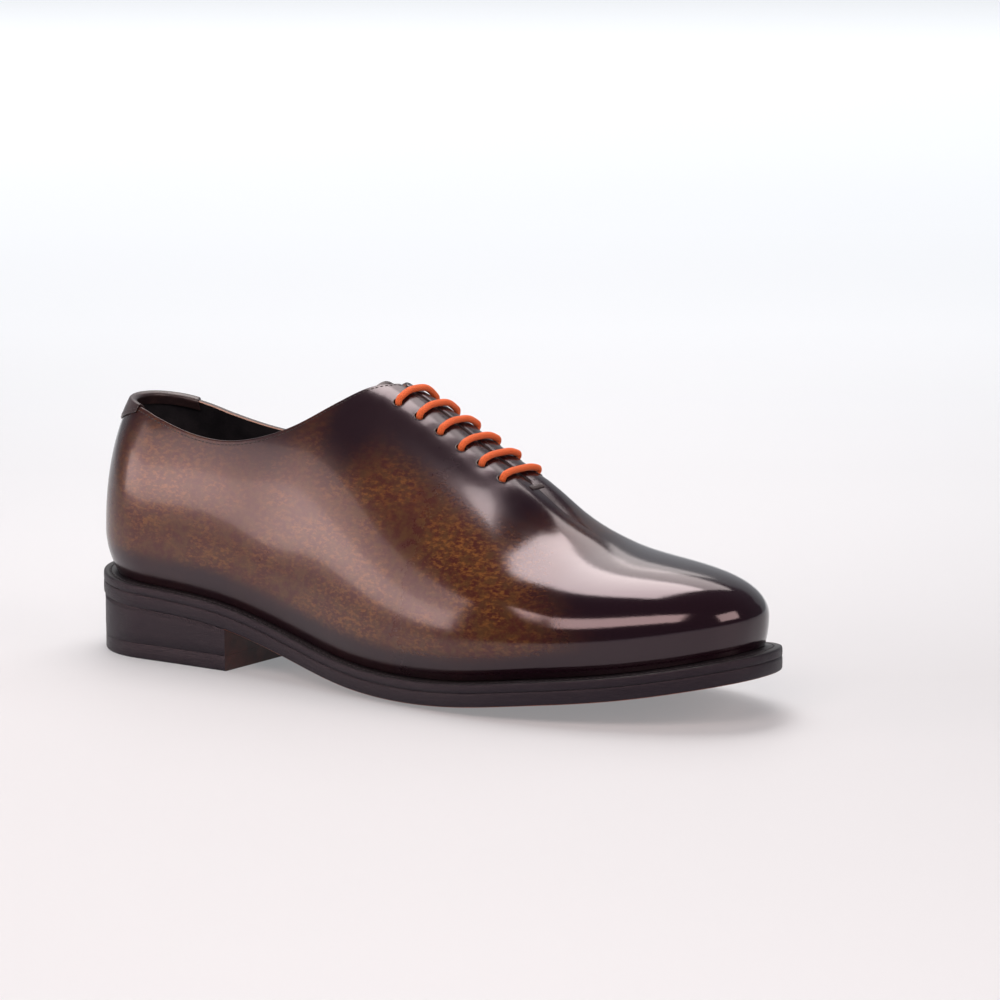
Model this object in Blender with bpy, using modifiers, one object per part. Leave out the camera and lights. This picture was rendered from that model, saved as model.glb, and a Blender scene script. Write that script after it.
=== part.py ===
"""Whole cut oxford, right foot, standing empty on its sole.

The upper is one hollow wall laid over the form of the last, which is worked out from a table of
stations from heel to toe. Welt, outsole, heel, insole, tongue, heel tab and lace take their places
from the same outline. Lengths are in metres, +X towards the toe, +Y towards the inner side of the
foot and +Z up. The origin is on the floor, under the middle of the welt's box.
"""

import math

import bmesh
import bpy
import numpy as np
from mathutils import Matrix, Vector
from mathutils.kdtree import KDTree

# The last: its widest outline seen from above, and its heights.
LAST_LENGTH = 0.2985
BALL_WIDTH = 0.1010
INSTEP_HEIGHT = 0.0860
HEEL_PITCH = 0.0205
TOE_SPRING = 0.0170

# Leather and sole.
WALL = 0.0020
WELT_THICKNESS = 0.0035
WELT_SEAT = 0.0045
WELT_BEVEL = 0.0008
OUTSOLE_THICKNESS = 0.0053
TREAD_CROWN = 0.0020
TREAD_FLAT = 0.0007
INSOLE_THICKNESS = 0.0026
HEEL_LENGTH = 0.0775
HEEL_INSET = 0.0006
TOP_PIECE_THICKNESS = 0.0062
CLEARANCE = 0.0003
MERGE = 2e-6

# Throat, lace, tongue and tab. The tip width is a share of the tongue's, and its round and ease
# are shares of the last's length.
THROAT_GAP = 0.0016
EYELET_ROWS = 6
EYELET_RADIUS = 0.0022
EYELET_SPREAD = 0.0112
LACE_RADIUS = 0.00135
LACE_ARCH = 0.0008
LACE_CLEARANCE = 0.0006
UNDER_RUN = WALL + LACE_CLEARANCE + LACE_RADIUS
TONGUE_THICKNESS = 0.0018
TONGUE_HALF_WIDTH = 0.0200
TONGUE_TIP_WIDTH = 0.72
TONGUE_TIP_ROUND = 0.030
TONGUE_EASE = 0.015
TAB_THICKNESS = 0.0012
TAB_DEPTH = 0.0125
TAB_CORNER = 0.0030
TAB_CURVE = 1.3
TAB_LIP = 0.0008

# Stations along the last, in shares of its length.
HEEL_ROUND = 0.115
TOE_ROUND = 0.790
TREAD_START = 0.30
TREAD_FULL = 0.50
TAB_SHARE = 0.066
TONGUE_TOP = 0.405
TONGUE_FOOT = 0.710
FIRST_EYELET = 0.474
LAST_EYELET = 0.636
THROAT_END = 0.660

# How far the back of the heel leans in as the wall narrows, as a share of the narrowing.
HEEL_LEAN = 0.64

LATERAL, MEDIAL = -1, 1


class Table:
    """Rows of numbers with named columns, read between the rows by a natural cubic."""

    def __init__(self, names, *rows):
        self.names = names.split()
        self.rows = np.array(rows, float)
        self.knots = self.rows[:, 0]
        steps = np.diff(self.knots)
        count = len(self.knots)
        matrix = np.eye(count)
        slopes = np.diff(self.rows, axis=0) / steps[:, None]
        right = np.zeros_like(self.rows)
        for i in range(1, count - 1):
            matrix[i, i - 1 : i + 2] = steps[i - 1], 2 * (steps[i - 1] + steps[i]), steps[i]
            right[i] = 6 * (slopes[i] - slopes[i - 1])
        self.bends = np.linalg.solve(matrix, right)

    def __call__(self, name, share):
        """The named column at these shares along the shoe."""
        column = self.names.index(name)
        share = np.clip(share, self.knots[0], self.knots[-1])
        i = np.clip(np.searchsorted(self.knots, share) - 1, 0, len(self.knots) - 2)
        step = self.knots[i + 1] - self.knots[i]
        a = (self.knots[i + 1] - share) / step
        b = 1 - a
        low, high = self.rows[i, column], self.rows[i + 1, column]
        bend = (a**3 - a) * self.bends[i, column] + (b**3 - b) * self.bends[i + 1, column]
        return a * low + b * high + bend * step**2 / 6


# Shares of the last's length. Widths are shares of the ball width, on either side of the centre.
PLAN = Table(
    "share lateral medial centre ridge",
    (0.00, 0.350, 0.345, 0.000, 0.000),
    (0.12, 0.335, 0.338, 0.002, 0.000),
    (0.24, 0.338, 0.325, 0.004, 0.010),
    (0.36, 0.356, 0.310, 0.003, 0.040),
    (0.48, 0.428, 0.345, 0.003, 0.060),
    (0.58, 0.475, 0.412, 0.011, 0.058),
    (0.66, 0.498, 0.460, 0.021, 0.050),
    (0.74, 0.490, 0.470, 0.035, 0.035),
    (0.82, 0.455, 0.452, 0.057, 0.020),
    (0.91, 0.412, 0.417, 0.071, 0.008),
    (1.00, 0.372, 0.371, 0.080, 0.000),
)

# Crown is the arch's height over the feather line, as a share of the instep height. Round and
# full are the exponents of the arch. Bulge and widest are the skirt's overhang and height, as
# shares of the ball width.
FORM = Table(
    "share crown round full bulge widest",
    (0.00, 0.950, 1.85, 2.10, 0.044, 0.165),
    (0.12, 0.980, 1.80, 2.10, 0.040, 0.165),
    (0.28, 1.100, 1.75, 2.00, 0.034, 0.165),
    (0.42, 1.195, 1.75, 1.90, 0.034, 0.160),
    (0.50, 1.115, 1.80, 1.90, 0.036, 0.150),
    (0.60, 0.920, 1.80, 1.90, 0.038, 0.135),
    (0.66, 0.790, 1.85, 1.95, 0.038, 0.130),
    (0.72, 0.640, 1.90, 1.98, 0.036, 0.125),
    (0.79, 0.510, 2.00, 2.00, 0.032, 0.120),
    (0.87, 0.455, 2.15, 2.00, 0.024, 0.115),
    (1.00, 0.430, 2.30, 2.00, 0.014, 0.110),
)

# Height of the welt over its lowest place, as shares of heel pitch and toe spring.
RISE = Table(
    "share heel toe",
    (0.00, 1.080, 0.000),
    (0.12, 0.940, 0.000),
    (0.25, 0.780, 0.000),
    (0.36, 0.415, 0.000),
    (0.46, 0.120, 0.010),
    (0.56, 0.005, 0.020),
    (0.66, 0.000, 0.100),
    (0.76, 0.000, 0.310),
    (0.88, 0.000, 0.580),
    (1.00, 0.000, 0.980),
)

# How far the welt stands out from the feather line, as shares of its widest reach.
WELT_REACH = 0.0066
REACH = Table(
    "share lateral medial",
    (0.00, 0.84, 0.84),
    (0.20, 0.72, 0.66),
    (0.40, 0.62, 0.45),
    (0.60, 0.86, 0.70),
    (0.80, 1.00, 0.92),
    (1.00, 1.00, 1.00),
)

# The topline's height over the feather line, as shares of the instep height.
TOPLINE = Table(
    "share lateral medial",
    (0.00, 0.795, 0.795),
    (0.05, 0.798, 0.780),
    (0.10, 0.786, 0.750),
    (0.15, 0.752, 0.716),
    (0.20, 0.732, 0.696),
    (0.25, 0.750, 0.712),
    (0.30, 0.822, 0.785),
    (0.35, 0.938, 0.905),
    (0.40, 1.085, 1.060),
    (0.44, 1.165, 1.155),
    (0.47, 1.190, 1.190),
)

FOREFOOT_TOP = TREAD_CROWN - TREAD_FLAT + OUTSOLE_THICKNESS + CLEARANCE + WELT_THICKNESS


def side_name(side):
    return "lateral" if side == LATERAL else "medial"


def station(t):
    """Share along the last and how far the plan is still open there. t runs from 0 at the back
    of the heel to 1, where its round ends, to 2, where the toe's begins, and to 3 at the tip."""
    t = np.asarray(t, float)
    heel = np.clip(t, 0, 1) * math.pi / 2
    toe = np.clip(t - 2, 0, 1) * math.pi / 2
    middle = HEEL_ROUND + (TOE_ROUND - HEEL_ROUND) * np.clip(t - 1, 0, 1)
    share = np.where(t < 1, HEEL_ROUND * (1 - np.cos(heel)), middle)
    share = np.where(t > 2, TOE_ROUND + (1 - TOE_ROUND) * np.sin(toe), share)
    room = np.where(t > 2, np.cos(toe) ** 2, 1.0)
    return share, room


def station_at(share):
    """The t between heel and toe rounds, or in the heel's round, that lies at this share."""
    if share < HEEL_ROUND:
        return math.acos(1 - share / HEEL_ROUND) / (math.pi / 2)
    return 1 + (share - HEEL_ROUND) / (TOE_ROUND - HEEL_ROUND)


def stations(heel, middle, toe):
    """Stations from the back of the heel to the tip, with this many steps in each stretch. The
    throat's end is one of them."""
    back = np.linspace(0, 1, heel + 1)
    front = np.linspace(2, 3, toe + 1)
    t = np.concatenate([back, np.linspace(1, 2, middle + 1)[1:-1], front])
    end = station_at(THROAT_END)
    t[np.abs(t - end).argmin()] = end
    return t


def fan(t):
    """Cosine and sine of a rib's angle about the heel's centre: 0 and 1 in front of its round."""
    angle = np.clip(t, 0, 1) * math.pi / 2
    return np.cos(angle), np.sin(angle)


def widest_outline(side, t):
    """The last's widest line seen from above, as (n, 2)."""
    share, room = station(t)
    half = PLAN(side_name(side), share) * BALL_WIDTH * room ** (1 / FORM("round", share))
    y = PLAN("centre", share) * BALL_WIDTH + side * half * fan(t)[1]
    return np.stack([share * LAST_LENGTH, y], -1)


def outward(side, t):
    """Unit vectors square to the widest line and away from it."""
    t = np.asarray(t, float)
    step = 1e-4
    ahead = widest_outline(side, np.clip(t + step, 0, 3))
    along = ahead - widest_outline(side, np.clip(t - step, 0, 3))
    along[t <= step] = 0, side
    along[t >= 3 - step] = 0, -side
    along /= np.linalg.norm(along, axis=-1)[..., None]
    return np.stack([-along[..., 1], along[..., 0]], -1) * side


def feather(side, t, grow=0.0):
    """The feather line, where the upper meets the welt, moved out by grow."""
    shift = grow - FORM("bulge", station(t)[0]) * BALL_WIDTH
    return widest_outline(side, t) + outward(side, t) * shift[..., None]


def welt_edge(side, t, inset=0.0):
    """The edge of welt and outsole, moved in by inset."""
    reach = REACH(side_name(side), station(t)[0]) * WELT_REACH
    return feather(side, t, reach - inset)


def welt_top(t):
    """Height of the welt's top face over the floor."""
    share, _ = station(t)
    return FOREFOOT_TOP + RISE("heel", share) * HEEL_PITCH + RISE("toe", share) * TOE_SPRING


def outsole_top(t):
    return welt_top(t) - WELT_THICKNESS - CLEARANCE


def outsole_edge_bottom(t):
    return outsole_top(t) - OUTSOLE_THICKNESS


def arch(side, t, level):
    """Points of the upper's outer face at stations t (n,) and levels (n, k): -1 is on the
    feather line, 0 on the widest line and 1 on the crown."""
    t = np.asarray(t, float)
    share, room = station(t)
    up = np.clip(level, 0, 1)
    low = np.clip(-level, 0, 1)
    full = FORM("full", share)[:, None]
    rise = up * room[:, None] ** (1 / full)
    narrow = np.clip(room[:, None] - rise**full, 0, None) ** (1 / FORM("round", share)[:, None])
    cosine, sine = (part[:, None] for part in fan(t))
    centre = (PLAN("centre", share) * BALL_WIDTH)[:, None]
    ridge = (PLAN("ridge", share) * BALL_WIDTH)[:, None]
    half = (PLAN(side_name(side), share) * BALL_WIDTH)[:, None]
    lean = HEEL_ROUND * LAST_LENGTH * HEEL_LEAN * cosine * (t < 1)[:, None]
    tuck = (FORM("bulge", share) * BALL_WIDTH)[:, None] * low**2
    out = outward(side, t)
    x = share[:, None] * LAST_LENGTH + lean * (1 - narrow) - out[:, :1] * tuck
    y = centre + ridge * rise**1.5 + side * half * sine * narrow - out[:, 1:] * tuck
    crown = (FORM("crown", share) * INSTEP_HEIGHT)[:, None]
    widest = (FORM("widest", share) * BALL_WIDTH)[:, None]
    foot = (welt_top(t) + CLEARANCE)[:, None]
    return np.stack([x, y, foot + widest * (1 - low) + rise * (crown - widest)], -1)


def face_normal(side, t, level):
    """Unit vectors out of the upper's outer face at the same stations and levels."""
    t = np.asarray(t, float)
    inner_t = np.clip(t, 0.002, 2.995)
    inner = np.clip(level, -0.995, 0.995)
    step = 1e-3
    along = arch(side, inner_t + step, inner) - arch(side, inner_t - step, inner)
    up = arch(side, inner_t, inner + step) - arch(side, inner_t, inner - step)
    normal = np.cross(along, up) * side * -1
    return normal / np.linalg.norm(normal, axis=-1)[..., None]


def lifted(side, t, level, height):
    """Points at this height over the upper's outer face."""
    height = np.broadcast_to(height, np.shape(level))
    return arch(side, t, level) + face_normal(side, t, level) * height[..., None]


def solve_level(side, t, excess):
    """The level where excess(points) turns positive on each rib, or 1."""
    low = np.zeros(len(t))
    high = np.ones(len(t))
    for _ in range(30):
        middle = (low + high) / 2
        past = excess(arch(side, t, middle[:, None])[:, 0]) > 0
        high = np.where(past, middle, high)
        low = np.where(past, low, middle)
    return high


def crown_y(side, t):
    return arch(side, t, np.ones((len(t), 1)))[:, 0, 1]


def level_beside(side, t, distance):
    """The level at which each rib passes at this distance beside the crown."""
    crown = crown_y(side, t)
    return solve_level(side, t, lambda points: distance - np.abs(points[:, 1] - crown))


def top_level(side, t):
    """The level at which each rib ends: at the topline, at the facing's edge or on the crown."""
    share, _ = station(t)
    limit = TOPLINE(side_name(side), share) * INSTEP_HEIGHT + welt_top(t)
    limit = np.where(share < TOPLINE.knots[-1], limit, np.inf)
    topline = solve_level(side, t, lambda points: points[:, 2] - limit)
    open_throat = (share > HEEL_ROUND) & (share < THROAT_END - MERGE)
    facing = np.where(open_throat, level_beside(side, t, THROAT_GAP / 2), 1)
    return np.minimum(topline, facing)


def spaced_levels(side, t, start, stop, count):
    """Levels from start to stop, spaced evenly along each rib."""
    levels = start[:, None] + (stop - start)[:, None] * np.linspace(0, 1, 200)[None, :]
    runs = np.linalg.norm(np.diff(arch(side, t, levels), axis=1), axis=2).cumsum(1)
    runs = np.concatenate([np.zeros((len(t), 1)), runs], 1)
    wanted = runs[:, -1:] * np.linspace(0, 1, count)[None, :]
    return np.stack([np.interp(*row) for row in zip(wanted, runs, levels)])


def level_below(side, t, top, depth):
    """The level this far down each rib from top."""
    levels = top[:, None] * np.linspace(1, 0, 200)[None, :]
    runs = np.linalg.norm(np.diff(arch(side, t, levels), axis=1), axis=2).cumsum(1)
    runs = np.concatenate([np.zeros((len(t), 1)), runs], 1)
    return np.stack([np.interp(*row) for row in zip(depth, runs, levels)])


def plan_centre():
    """Middle of the welt's box, seen from above."""
    edges = np.concatenate([welt_edge(side, SOLE_STATIONS) for side in (LATERAL, MEDIAL)])
    return (edges.min(0) + edges.max(0)) / 2


SOLE_STATIONS = stations(7, 24, 11)
UPPER_STATIONS = stations(7, 26, 11)
UPPER_ROWS = 14


def clear_scene():
    for obj in list(bpy.data.objects):
        bpy.data.objects.remove(obj)


def make_collection(name):
    collection = bpy.data.collections.new(name)
    bpy.context.scene.collection.children.link(collection)
    return collection


def make_material(name, colour, roughness):
    material = bpy.data.materials.new(name)
    material.use_nodes = True
    shader = material.node_tree.nodes["Principled BSDF"]
    shader.inputs["Base Color"].default_value = (*colour, 1)
    shader.inputs["Roughness"].default_value = roughness
    return material


def add_object(name, mesh, material, collection):
    obj = bpy.data.objects.new(name, mesh)
    collection.objects.link(obj)
    if material:
        mesh.materials.append(material)
    mesh.shade_smooth()
    mesh.set_sharp_from_angle(angle=math.radians(35))
    return obj


def mesh_of(name, points, faces):
    """A mesh in the part's frame from points in the last's. Points that coincide, as at the
    heel's back and the toe's tip, are one vertex, and a face keeps each of its vertices once."""
    shape = bmesh.new()
    shift = Vector((*plan_centre(), 0))
    tree = KDTree(len(points))
    for i, point in enumerate(points):
        tree.insert(point, i)
    tree.balance()
    verts = []
    for i, point in enumerate(points):
        first = min(index for _, index, _ in tree.find_range(point, MERGE))
        verts.append(verts[first] if first < i else shape.verts.new(Vector(point) - shift))
    for face in faces:
        corners = list(dict.fromkeys(verts[i] for i in face))
        if len(corners) > 2:
            shape.faces.new(corners)
    mesh = bpy.data.meshes.new(name)
    shape.to_mesh(mesh)
    shape.free()
    return mesh


def grid_faces(rows, columns, first=0, flip=False):
    """Quads over a grid of points numbered row by row."""
    faces = []
    for i in range(rows - 1):
        for j in range(columns - 1):
            a = first + i * columns + j
            face = (a, a + 1, a + columns + 1, a + columns)
            faces.append(face[::-1] if flip else face)
    return faces


def closed_slab(name, lower, upper_face):
    """A solid between two grids (n, k, 3) of the same size, walled along their borders."""
    rows, columns = lower.shape[:2]
    count = rows * columns
    faces = grid_faces(rows, columns, 0, True) + grid_faces(rows, columns, count)
    border = list(range(columns))
    border += [i * columns + columns - 1 for i in range(1, rows)]
    border += [(rows - 1) * columns + j for j in range(columns - 2, -1, -1)]
    border += [i * columns for i in range(rows - 2, 0, -1)]
    for a, b in zip(border, border[1:] + border[:1]):
        faces.append((a, b, b + count, a + count))
    return mesh_of(name, np.concatenate([lower, upper_face]).reshape(-1, 3), faces)


def face_outwards(mesh):
    shape = bmesh.new()
    shape.from_mesh(mesh)
    bmesh.ops.recalc_face_normals(shape, faces=shape.faces)
    shape.to_mesh(mesh)
    shape.free()
    return mesh


def across(t, lateral, medial, columns):
    """Points (n, columns, 2) from the lateral to the medial edge, and their places from -1 to 1."""
    place = np.linspace(-1, 1, columns)
    share = (place[None, :, None] + 1) / 2
    return lateral[:, None] * (1 - share) + medial[:, None] * share, place


def with_height(plan, height):
    height = np.broadcast_to(height, plan.shape[:2])
    return np.concatenate([plan, height[..., None]], -1)


def slab_between(name, t, inset, bottom, top, columns=2):
    """A sole layer whose edge lies inset from the welt's."""
    plan, _ = across(t, welt_edge(LATERAL, t, inset), welt_edge(MEDIAL, t, inset), columns)
    mesh = closed_slab(name, with_height(plan, bottom), with_height(plan, top))
    return face_outwards(mesh)


def build_outsole(material, collection):
    """The outsole, whose tread is crowned across and pressed flat where it stands."""
    t = SOLE_STATIONS
    columns = 7
    _, place = across(t, welt_edge(LATERAL, t), welt_edge(MEDIAL, t), columns)
    share, room = station(t)
    crowned = np.clip((share - TREAD_START) / (TREAD_FULL - TREAD_START), 0, 1) * room
    bottom = outsole_edge_bottom(t)[:, None] - TREAD_CROWN * crowned[:, None] * (1 - place**2)[None, :]
    mesh = slab_between("outsole", t, 0, np.maximum(bottom, 0), outsole_top(t)[:, None], columns)
    return add_object("outsole", mesh, material, collection)


def build_welt(material, collection):
    """The welt, a flat strip all round the feather line with its top corner taken off."""
    t = SOLE_STATIONS
    profile = (
        (None, 0.0),
        (0.0, 0.0),
        (0.0, WELT_THICKNESS - WELT_BEVEL),
        (WELT_BEVEL, WELT_THICKNESS),
        (None, WELT_THICKNESS),
    )
    loops = []
    for inset, height in profile:
        halves = []
        for side in (LATERAL, MEDIAL):
            plan = feather(side, t, -WELT_SEAT) if inset is None else welt_edge(side, t, inset)
            z = welt_top(t) - WELT_THICKNESS + height
            halves.append(np.column_stack([plan, z]))
        loops.append(np.concatenate([halves[0], halves[1][-2:0:-1]]))
    points = np.concatenate(loops)
    around = len(loops[0])
    faces = []
    for k in range(len(profile)):
        after = (k + 1) % len(profile)
        for i in range(around):
            j = (i + 1) % around
            faces.append((k * around + i, k * around + j, after * around + j, after * around + i))
    return add_object("welt", face_outwards(mesh_of("welt", points, faces)), material, collection)


def build_insole(material, collection):
    """The insole, with the filler that lies under it inside the welt."""
    t = SOLE_STATIONS
    levels = (
        (WELT_SEAT + CLEARANCE, outsole_top(t) + CLEARANCE),
        (WELT_SEAT + CLEARANCE, welt_top(t) + CLEARANCE),
        (WALL + 2 * CLEARANCE, welt_top(t) + CLEARANCE),
        (WALL + 2 * CLEARANCE, welt_top(t) + CLEARANCE + INSOLE_THICKNESS),
    )
    loops = []
    for inset, z in levels:
        halves = [np.column_stack([feather(side, t, -inset), z]) for side in (LATERAL, MEDIAL)]
        loops.append(np.concatenate([halves[0], halves[1][-2:0:-1]]))
    around = len(loops[0])
    faces = []
    for k in range(len(levels) - 1):
        for i in range(around):
            j = (i + 1) % around
            faces.append((k * around + i, k * around + j, (k + 1) * around + j, (k + 1) * around + i))
    for base in (0, (len(levels) - 1) * around):
        for i in range(1, len(t) - 2):
            faces.append((base + i, base + i + 1, base + around - i - 1, base + around - i))
        faces.append((base, base + 1, base + around - 1))
        tip = len(t) - 1
        faces.append((base + tip - 1, base + tip, base + tip + 1))
    mesh = face_outwards(mesh_of("insole", np.concatenate(loops), faces))
    return add_object("insole", mesh, material, collection)


def heel_stations(side):
    """Stations of one side of the heel, from its back to the breast."""
    fine = np.linspace(0, 2, 400)
    breast = np.interp(HEEL_LENGTH, welt_edge(side, fine, HEEL_INSET)[:, 0], fine)
    return np.concatenate([np.linspace(0, 1, 9), np.linspace(1, breast, 7)[1:]])


def build_heel_block(name, bottom, top, material, collection):
    """A layer of the heel between two heights, given as functions of the station."""
    lateral, medial = heel_stations(LATERAL), heel_stations(MEDIAL)
    plan, _ = across(
        lateral,
        welt_edge(LATERAL, lateral, HEEL_INSET),
        welt_edge(MEDIAL, medial, HEEL_INSET),
        2,
    )
    low = np.stack([bottom(lateral), bottom(medial)], 1)
    high = np.stack([top(lateral), top(medial)], 1)
    mesh = closed_slab(name, with_height(plan, low), with_height(plan, high))
    return add_object(name, face_outwards(mesh), material, collection)


def build_heel(material, collection):
    """The stack, which fills the wedge under the outsole, and the top piece that it stands on."""
    build_heel_block(
        "heel_stack",
        lambda t: np.full(len(t), TOP_PIECE_THICKNESS + CLEARANCE),
        lambda t: outsole_edge_bottom(t) - CLEARANCE,
        material,
        collection,
    )
    build_heel_block(
        "top_piece",
        lambda t: np.zeros(len(t)),
        lambda t: np.full(len(t), TOP_PIECE_THICKNESS),
        material,
        collection,
    )


def shell_object(name, grids, thickness, material, collection):
    """A shell from open grids [(points (n, k, 3), flip)], with its wall inside the given face."""
    points = np.concatenate([grid.reshape(-1, 3) for grid, _ in grids])
    faces = []
    first = 0
    for grid, flip in grids:
        faces += grid_faces(*grid.shape[:2], first, flip)
        first += grid.shape[0] * grid.shape[1]
    obj = add_object(name, mesh_of(name, points, faces), material, collection)
    wall = obj.modifiers.new("Wall", "SOLIDIFY")
    wall.thickness = thickness
    wall.offset = -1
    wall.use_rim = True
    return obj


def eyelet_places():
    """Stations of the eyelet rows, and the level of each on both sides."""
    t = np.array([station_at(s) for s in np.linspace(FIRST_EYELET, LAST_EYELET, EYELET_ROWS)])
    return t, {side: level_beside(side, t, EYELET_SPREAD) for side in (LATERAL, MEDIAL)}


def build_upper(material, collection, cutters):
    """The whole-cut upper: one wall from the feather line to the topline, open down the throat."""
    t = UPPER_STATIONS
    grids = []
    for side in (LATERAL, MEDIAL):
        levels = spaced_levels(side, t, np.full(len(t), -1.0), top_level(side, t), UPPER_ROWS)
        grids.append((arch(side, t, levels), side == LATERAL))
    upper = shell_object("upper", grids, WALL, material, collection)
    holes = bmesh.new()
    shift = Vector((*plan_centre(), 0))
    t, levels = eyelet_places()
    for side in (LATERAL, MEDIAL):
        points = arch(side, t, levels[side][:, None])[:, 0]
        normals = face_normal(side, t, levels[side][:, None])[:, 0]
        for point, normal in zip(points, normals):
            turn = Vector(normal).to_track_quat("Z", "Y").to_matrix().to_4x4()
            place = Matrix.Translation(Vector(point) - Vector(normal) * WALL / 2 - shift) @ turn
            bmesh.ops.create_cone(
                holes,
                cap_ends=True,
                segments=12,
                radius1=EYELET_RADIUS,
                radius2=EYELET_RADIUS,
                depth=3 * WALL,
                matrix=place,
            )
    mesh = bpy.data.meshes.new("eyelet_cutter")
    holes.to_mesh(mesh)
    holes.free()
    cutter = add_object("eyelet_cutter", mesh, None, cutters)
    cutter.hide_render = True
    cutter.display_type = "WIRE"
    cut = upper.modifiers.new("Eyelets", "BOOLEAN")
    cut.object = cutter
    cut.operation = "DIFFERENCE"
    return upper


def tongue_depth(t):
    """How far the tongue's face lies under the upper's outer one: room for the lace between
    them behind the throat, and close under the vamp and at its own tip."""
    share, _ = station(t)
    room = 2 * LACE_RADIUS + 2 * LACE_CLEARANCE
    rise = np.clip((share - TONGUE_TOP) / (FIRST_EYELET - TONGUE_TOP - TONGUE_EASE), 0, 1)
    fall = np.clip((TONGUE_FOOT - share) / (TONGUE_FOOT - LAST_EYELET - TONGUE_EASE), 0, 1)
    ease = rise * fall
    ease = ease * ease * (3 - 2 * ease)
    return WALL + 2 * CLEARANCE + (room - 2 * CLEARANCE) * ease


def build_tongue(material, collection):
    """The tongue, an arched strip under the facings, with its tip above them."""
    t = np.linspace(station_at(TONGUE_TOP), station_at(TONGUE_FOOT), 18)
    share, _ = station(t)
    corner = np.clip((share - TONGUE_TOP) / TONGUE_TIP_ROUND, 0, 1)
    opened = TONGUE_TIP_WIDTH + (1 - TONGUE_TIP_WIDTH) * np.sqrt(1 - (1 - corner) ** 2)
    half = TONGUE_HALF_WIDTH * opened
    grids = []
    for side in (LATERAL, MEDIAL):
        outer = level_beside(side, t, half)
        levels = spaced_levels(side, t, outer, np.ones(len(t)), 6)
        grids.append((lifted(side, t, levels, -tongue_depth(t)[:, None]), side == LATERAL))
    middle = (grids[0][0][:, -1] + grids[1][0][:, -1]) / 2
    for grid, _ in grids:
        grid[:, -1] = middle
    return shell_object("tongue", grids, TONGUE_THICKNESS, material, collection)


def build_tab(material, collection):
    """The heel tab, a thin patch over the topline's back that tapers to a point below."""
    t = np.linspace(0, station_at(TAB_SHARE), 9)
    across_share = t / t[-1]
    depth = TAB_CORNER + (TAB_DEPTH - TAB_CORNER) * (1 - across_share**TAB_CURVE)
    grids = []
    for side in (LATERAL, MEDIAL):
        top = top_level(side, t)
        low = level_below(side, t, top, depth)
        levels = spaced_levels(side, t, low, top, 5)
        points = lifted(side, t, levels, CLEARANCE + TAB_THICKNESS)
        points[:, -1, 2] += TAB_LIP
        grids.append((points, side == LATERAL))
    for grid, _ in grids:
        grid[0, :, 1] = 0
    return shell_object("heel_tab", grids, TAB_THICKNESS, material, collection)


def smooth_path(points, count):
    """A smooth curve through the points, as a Catmull-Rom spline."""
    points = np.asarray(points)
    padded = np.concatenate([2 * points[:1] - points[1:2], points, 2 * points[-1:] - points[-2:-1]])
    samples = []
    for value in np.linspace(0, len(points) - 1, count):
        i = min(int(value), len(points) - 2)
        f = value - i
        a, b, c, d = padded[i : i + 4]
        bend = (2 * a - 5 * b + 4 * c - d) * f**2 + (3 * b - a - 3 * c + d) * f**3
        samples.append((2 * b + (c - a) * f + bend) / 2)
    return np.array(samples)


def tube_object(name, path, radius, material, collection):
    """A round cord along a path, as a closed mesh."""
    curve = bpy.data.curves.new(name, "CURVE")
    curve.dimensions = "3D"
    curve.bevel_depth = radius
    curve.bevel_resolution = 2
    curve.use_fill_caps = True
    spline = curve.splines.new("POLY")
    spline.points.add(len(path) - 1)
    centre = plan_centre()
    for point, place in zip(spline.points, path):
        point.co = (place[0] - centre[0], place[1] - centre[1], place[2], 1)
    guide = bpy.data.objects.new(name + "_guide", curve)
    collection.objects.link(guide)
    graph = bpy.context.evaluated_depsgraph_get()
    mesh = bpy.data.meshes.new_from_object(guide.evaluated_get(graph))
    bpy.data.objects.remove(guide)
    bpy.data.curves.remove(curve)
    shape = bmesh.new()
    shape.from_mesh(mesh)
    bmesh.ops.remove_doubles(shape, verts=shape.verts, dist=MERGE)
    bmesh.ops.recalc_face_normals(shape, faces=shape.faces)
    shape.to_mesh(mesh)
    shape.free()
    return add_object(name, mesh, material, collection)


def lace_bar(row, t):
    """The cord's path for one row: up through one eyelet, over the facings and down the other."""
    t = t[row : row + 1]
    turn = LACE_RADIUS + LACE_CLEARANCE
    angles = np.radians((0, 30, 60, 90))
    steps = [(0, -UNDER_RUN), (0, -WALL)]
    steps += [(turn * (1 - math.cos(a)), turn * math.sin(a)) for a in angles]
    for place in (0.50, 0.20):
        steps.append((EYELET_SPREAD * (1 - place), turn + LACE_ARCH * (1 - place**2)))
    path = []
    for side in (LATERAL, MEDIAL):
        half = []
        for inward, height in steps:
            level = level_beside(side, t, EYELET_SPREAD - inward)
            half.append(lifted(side, t, level[:, None], height)[0, 0])
        path.append(half)
    return smooth_path(path[0] + path[1][::-1], 26)


def build_lace(material, collection, cutters):
    """The lace: six bars over the facings, joined by the runs that pass under them."""
    t, levels = eyelet_places()
    pieces = []
    for side in (LATERAL, MEDIAL):
        run = lifted(side, t, levels[side][:, None], -UNDER_RUN)[:, 0]
        run = smooth_path(run, 11)
        run = np.concatenate([2 * run[:1] - run[1:2], run, 2 * run[-1:] - run[-2:-1]])
        pieces.append(tube_object("lace", run, LACE_RADIUS, material, collection))
    for row in range(EYELET_ROWS):
        bar = lace_bar(row, t)
        pieces.append(tube_object("lace_bar", bar, LACE_RADIUS * 0.98, material, cutters))
    lace = pieces[0]
    for piece in pieces[1:]:
        joint = lace.modifiers.new("Join", "BOOLEAN")
        joint.object = piece
        joint.operation = "UNION"
        piece.hide_render = True
        piece.display_type = "WIRE"
    return lace


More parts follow.
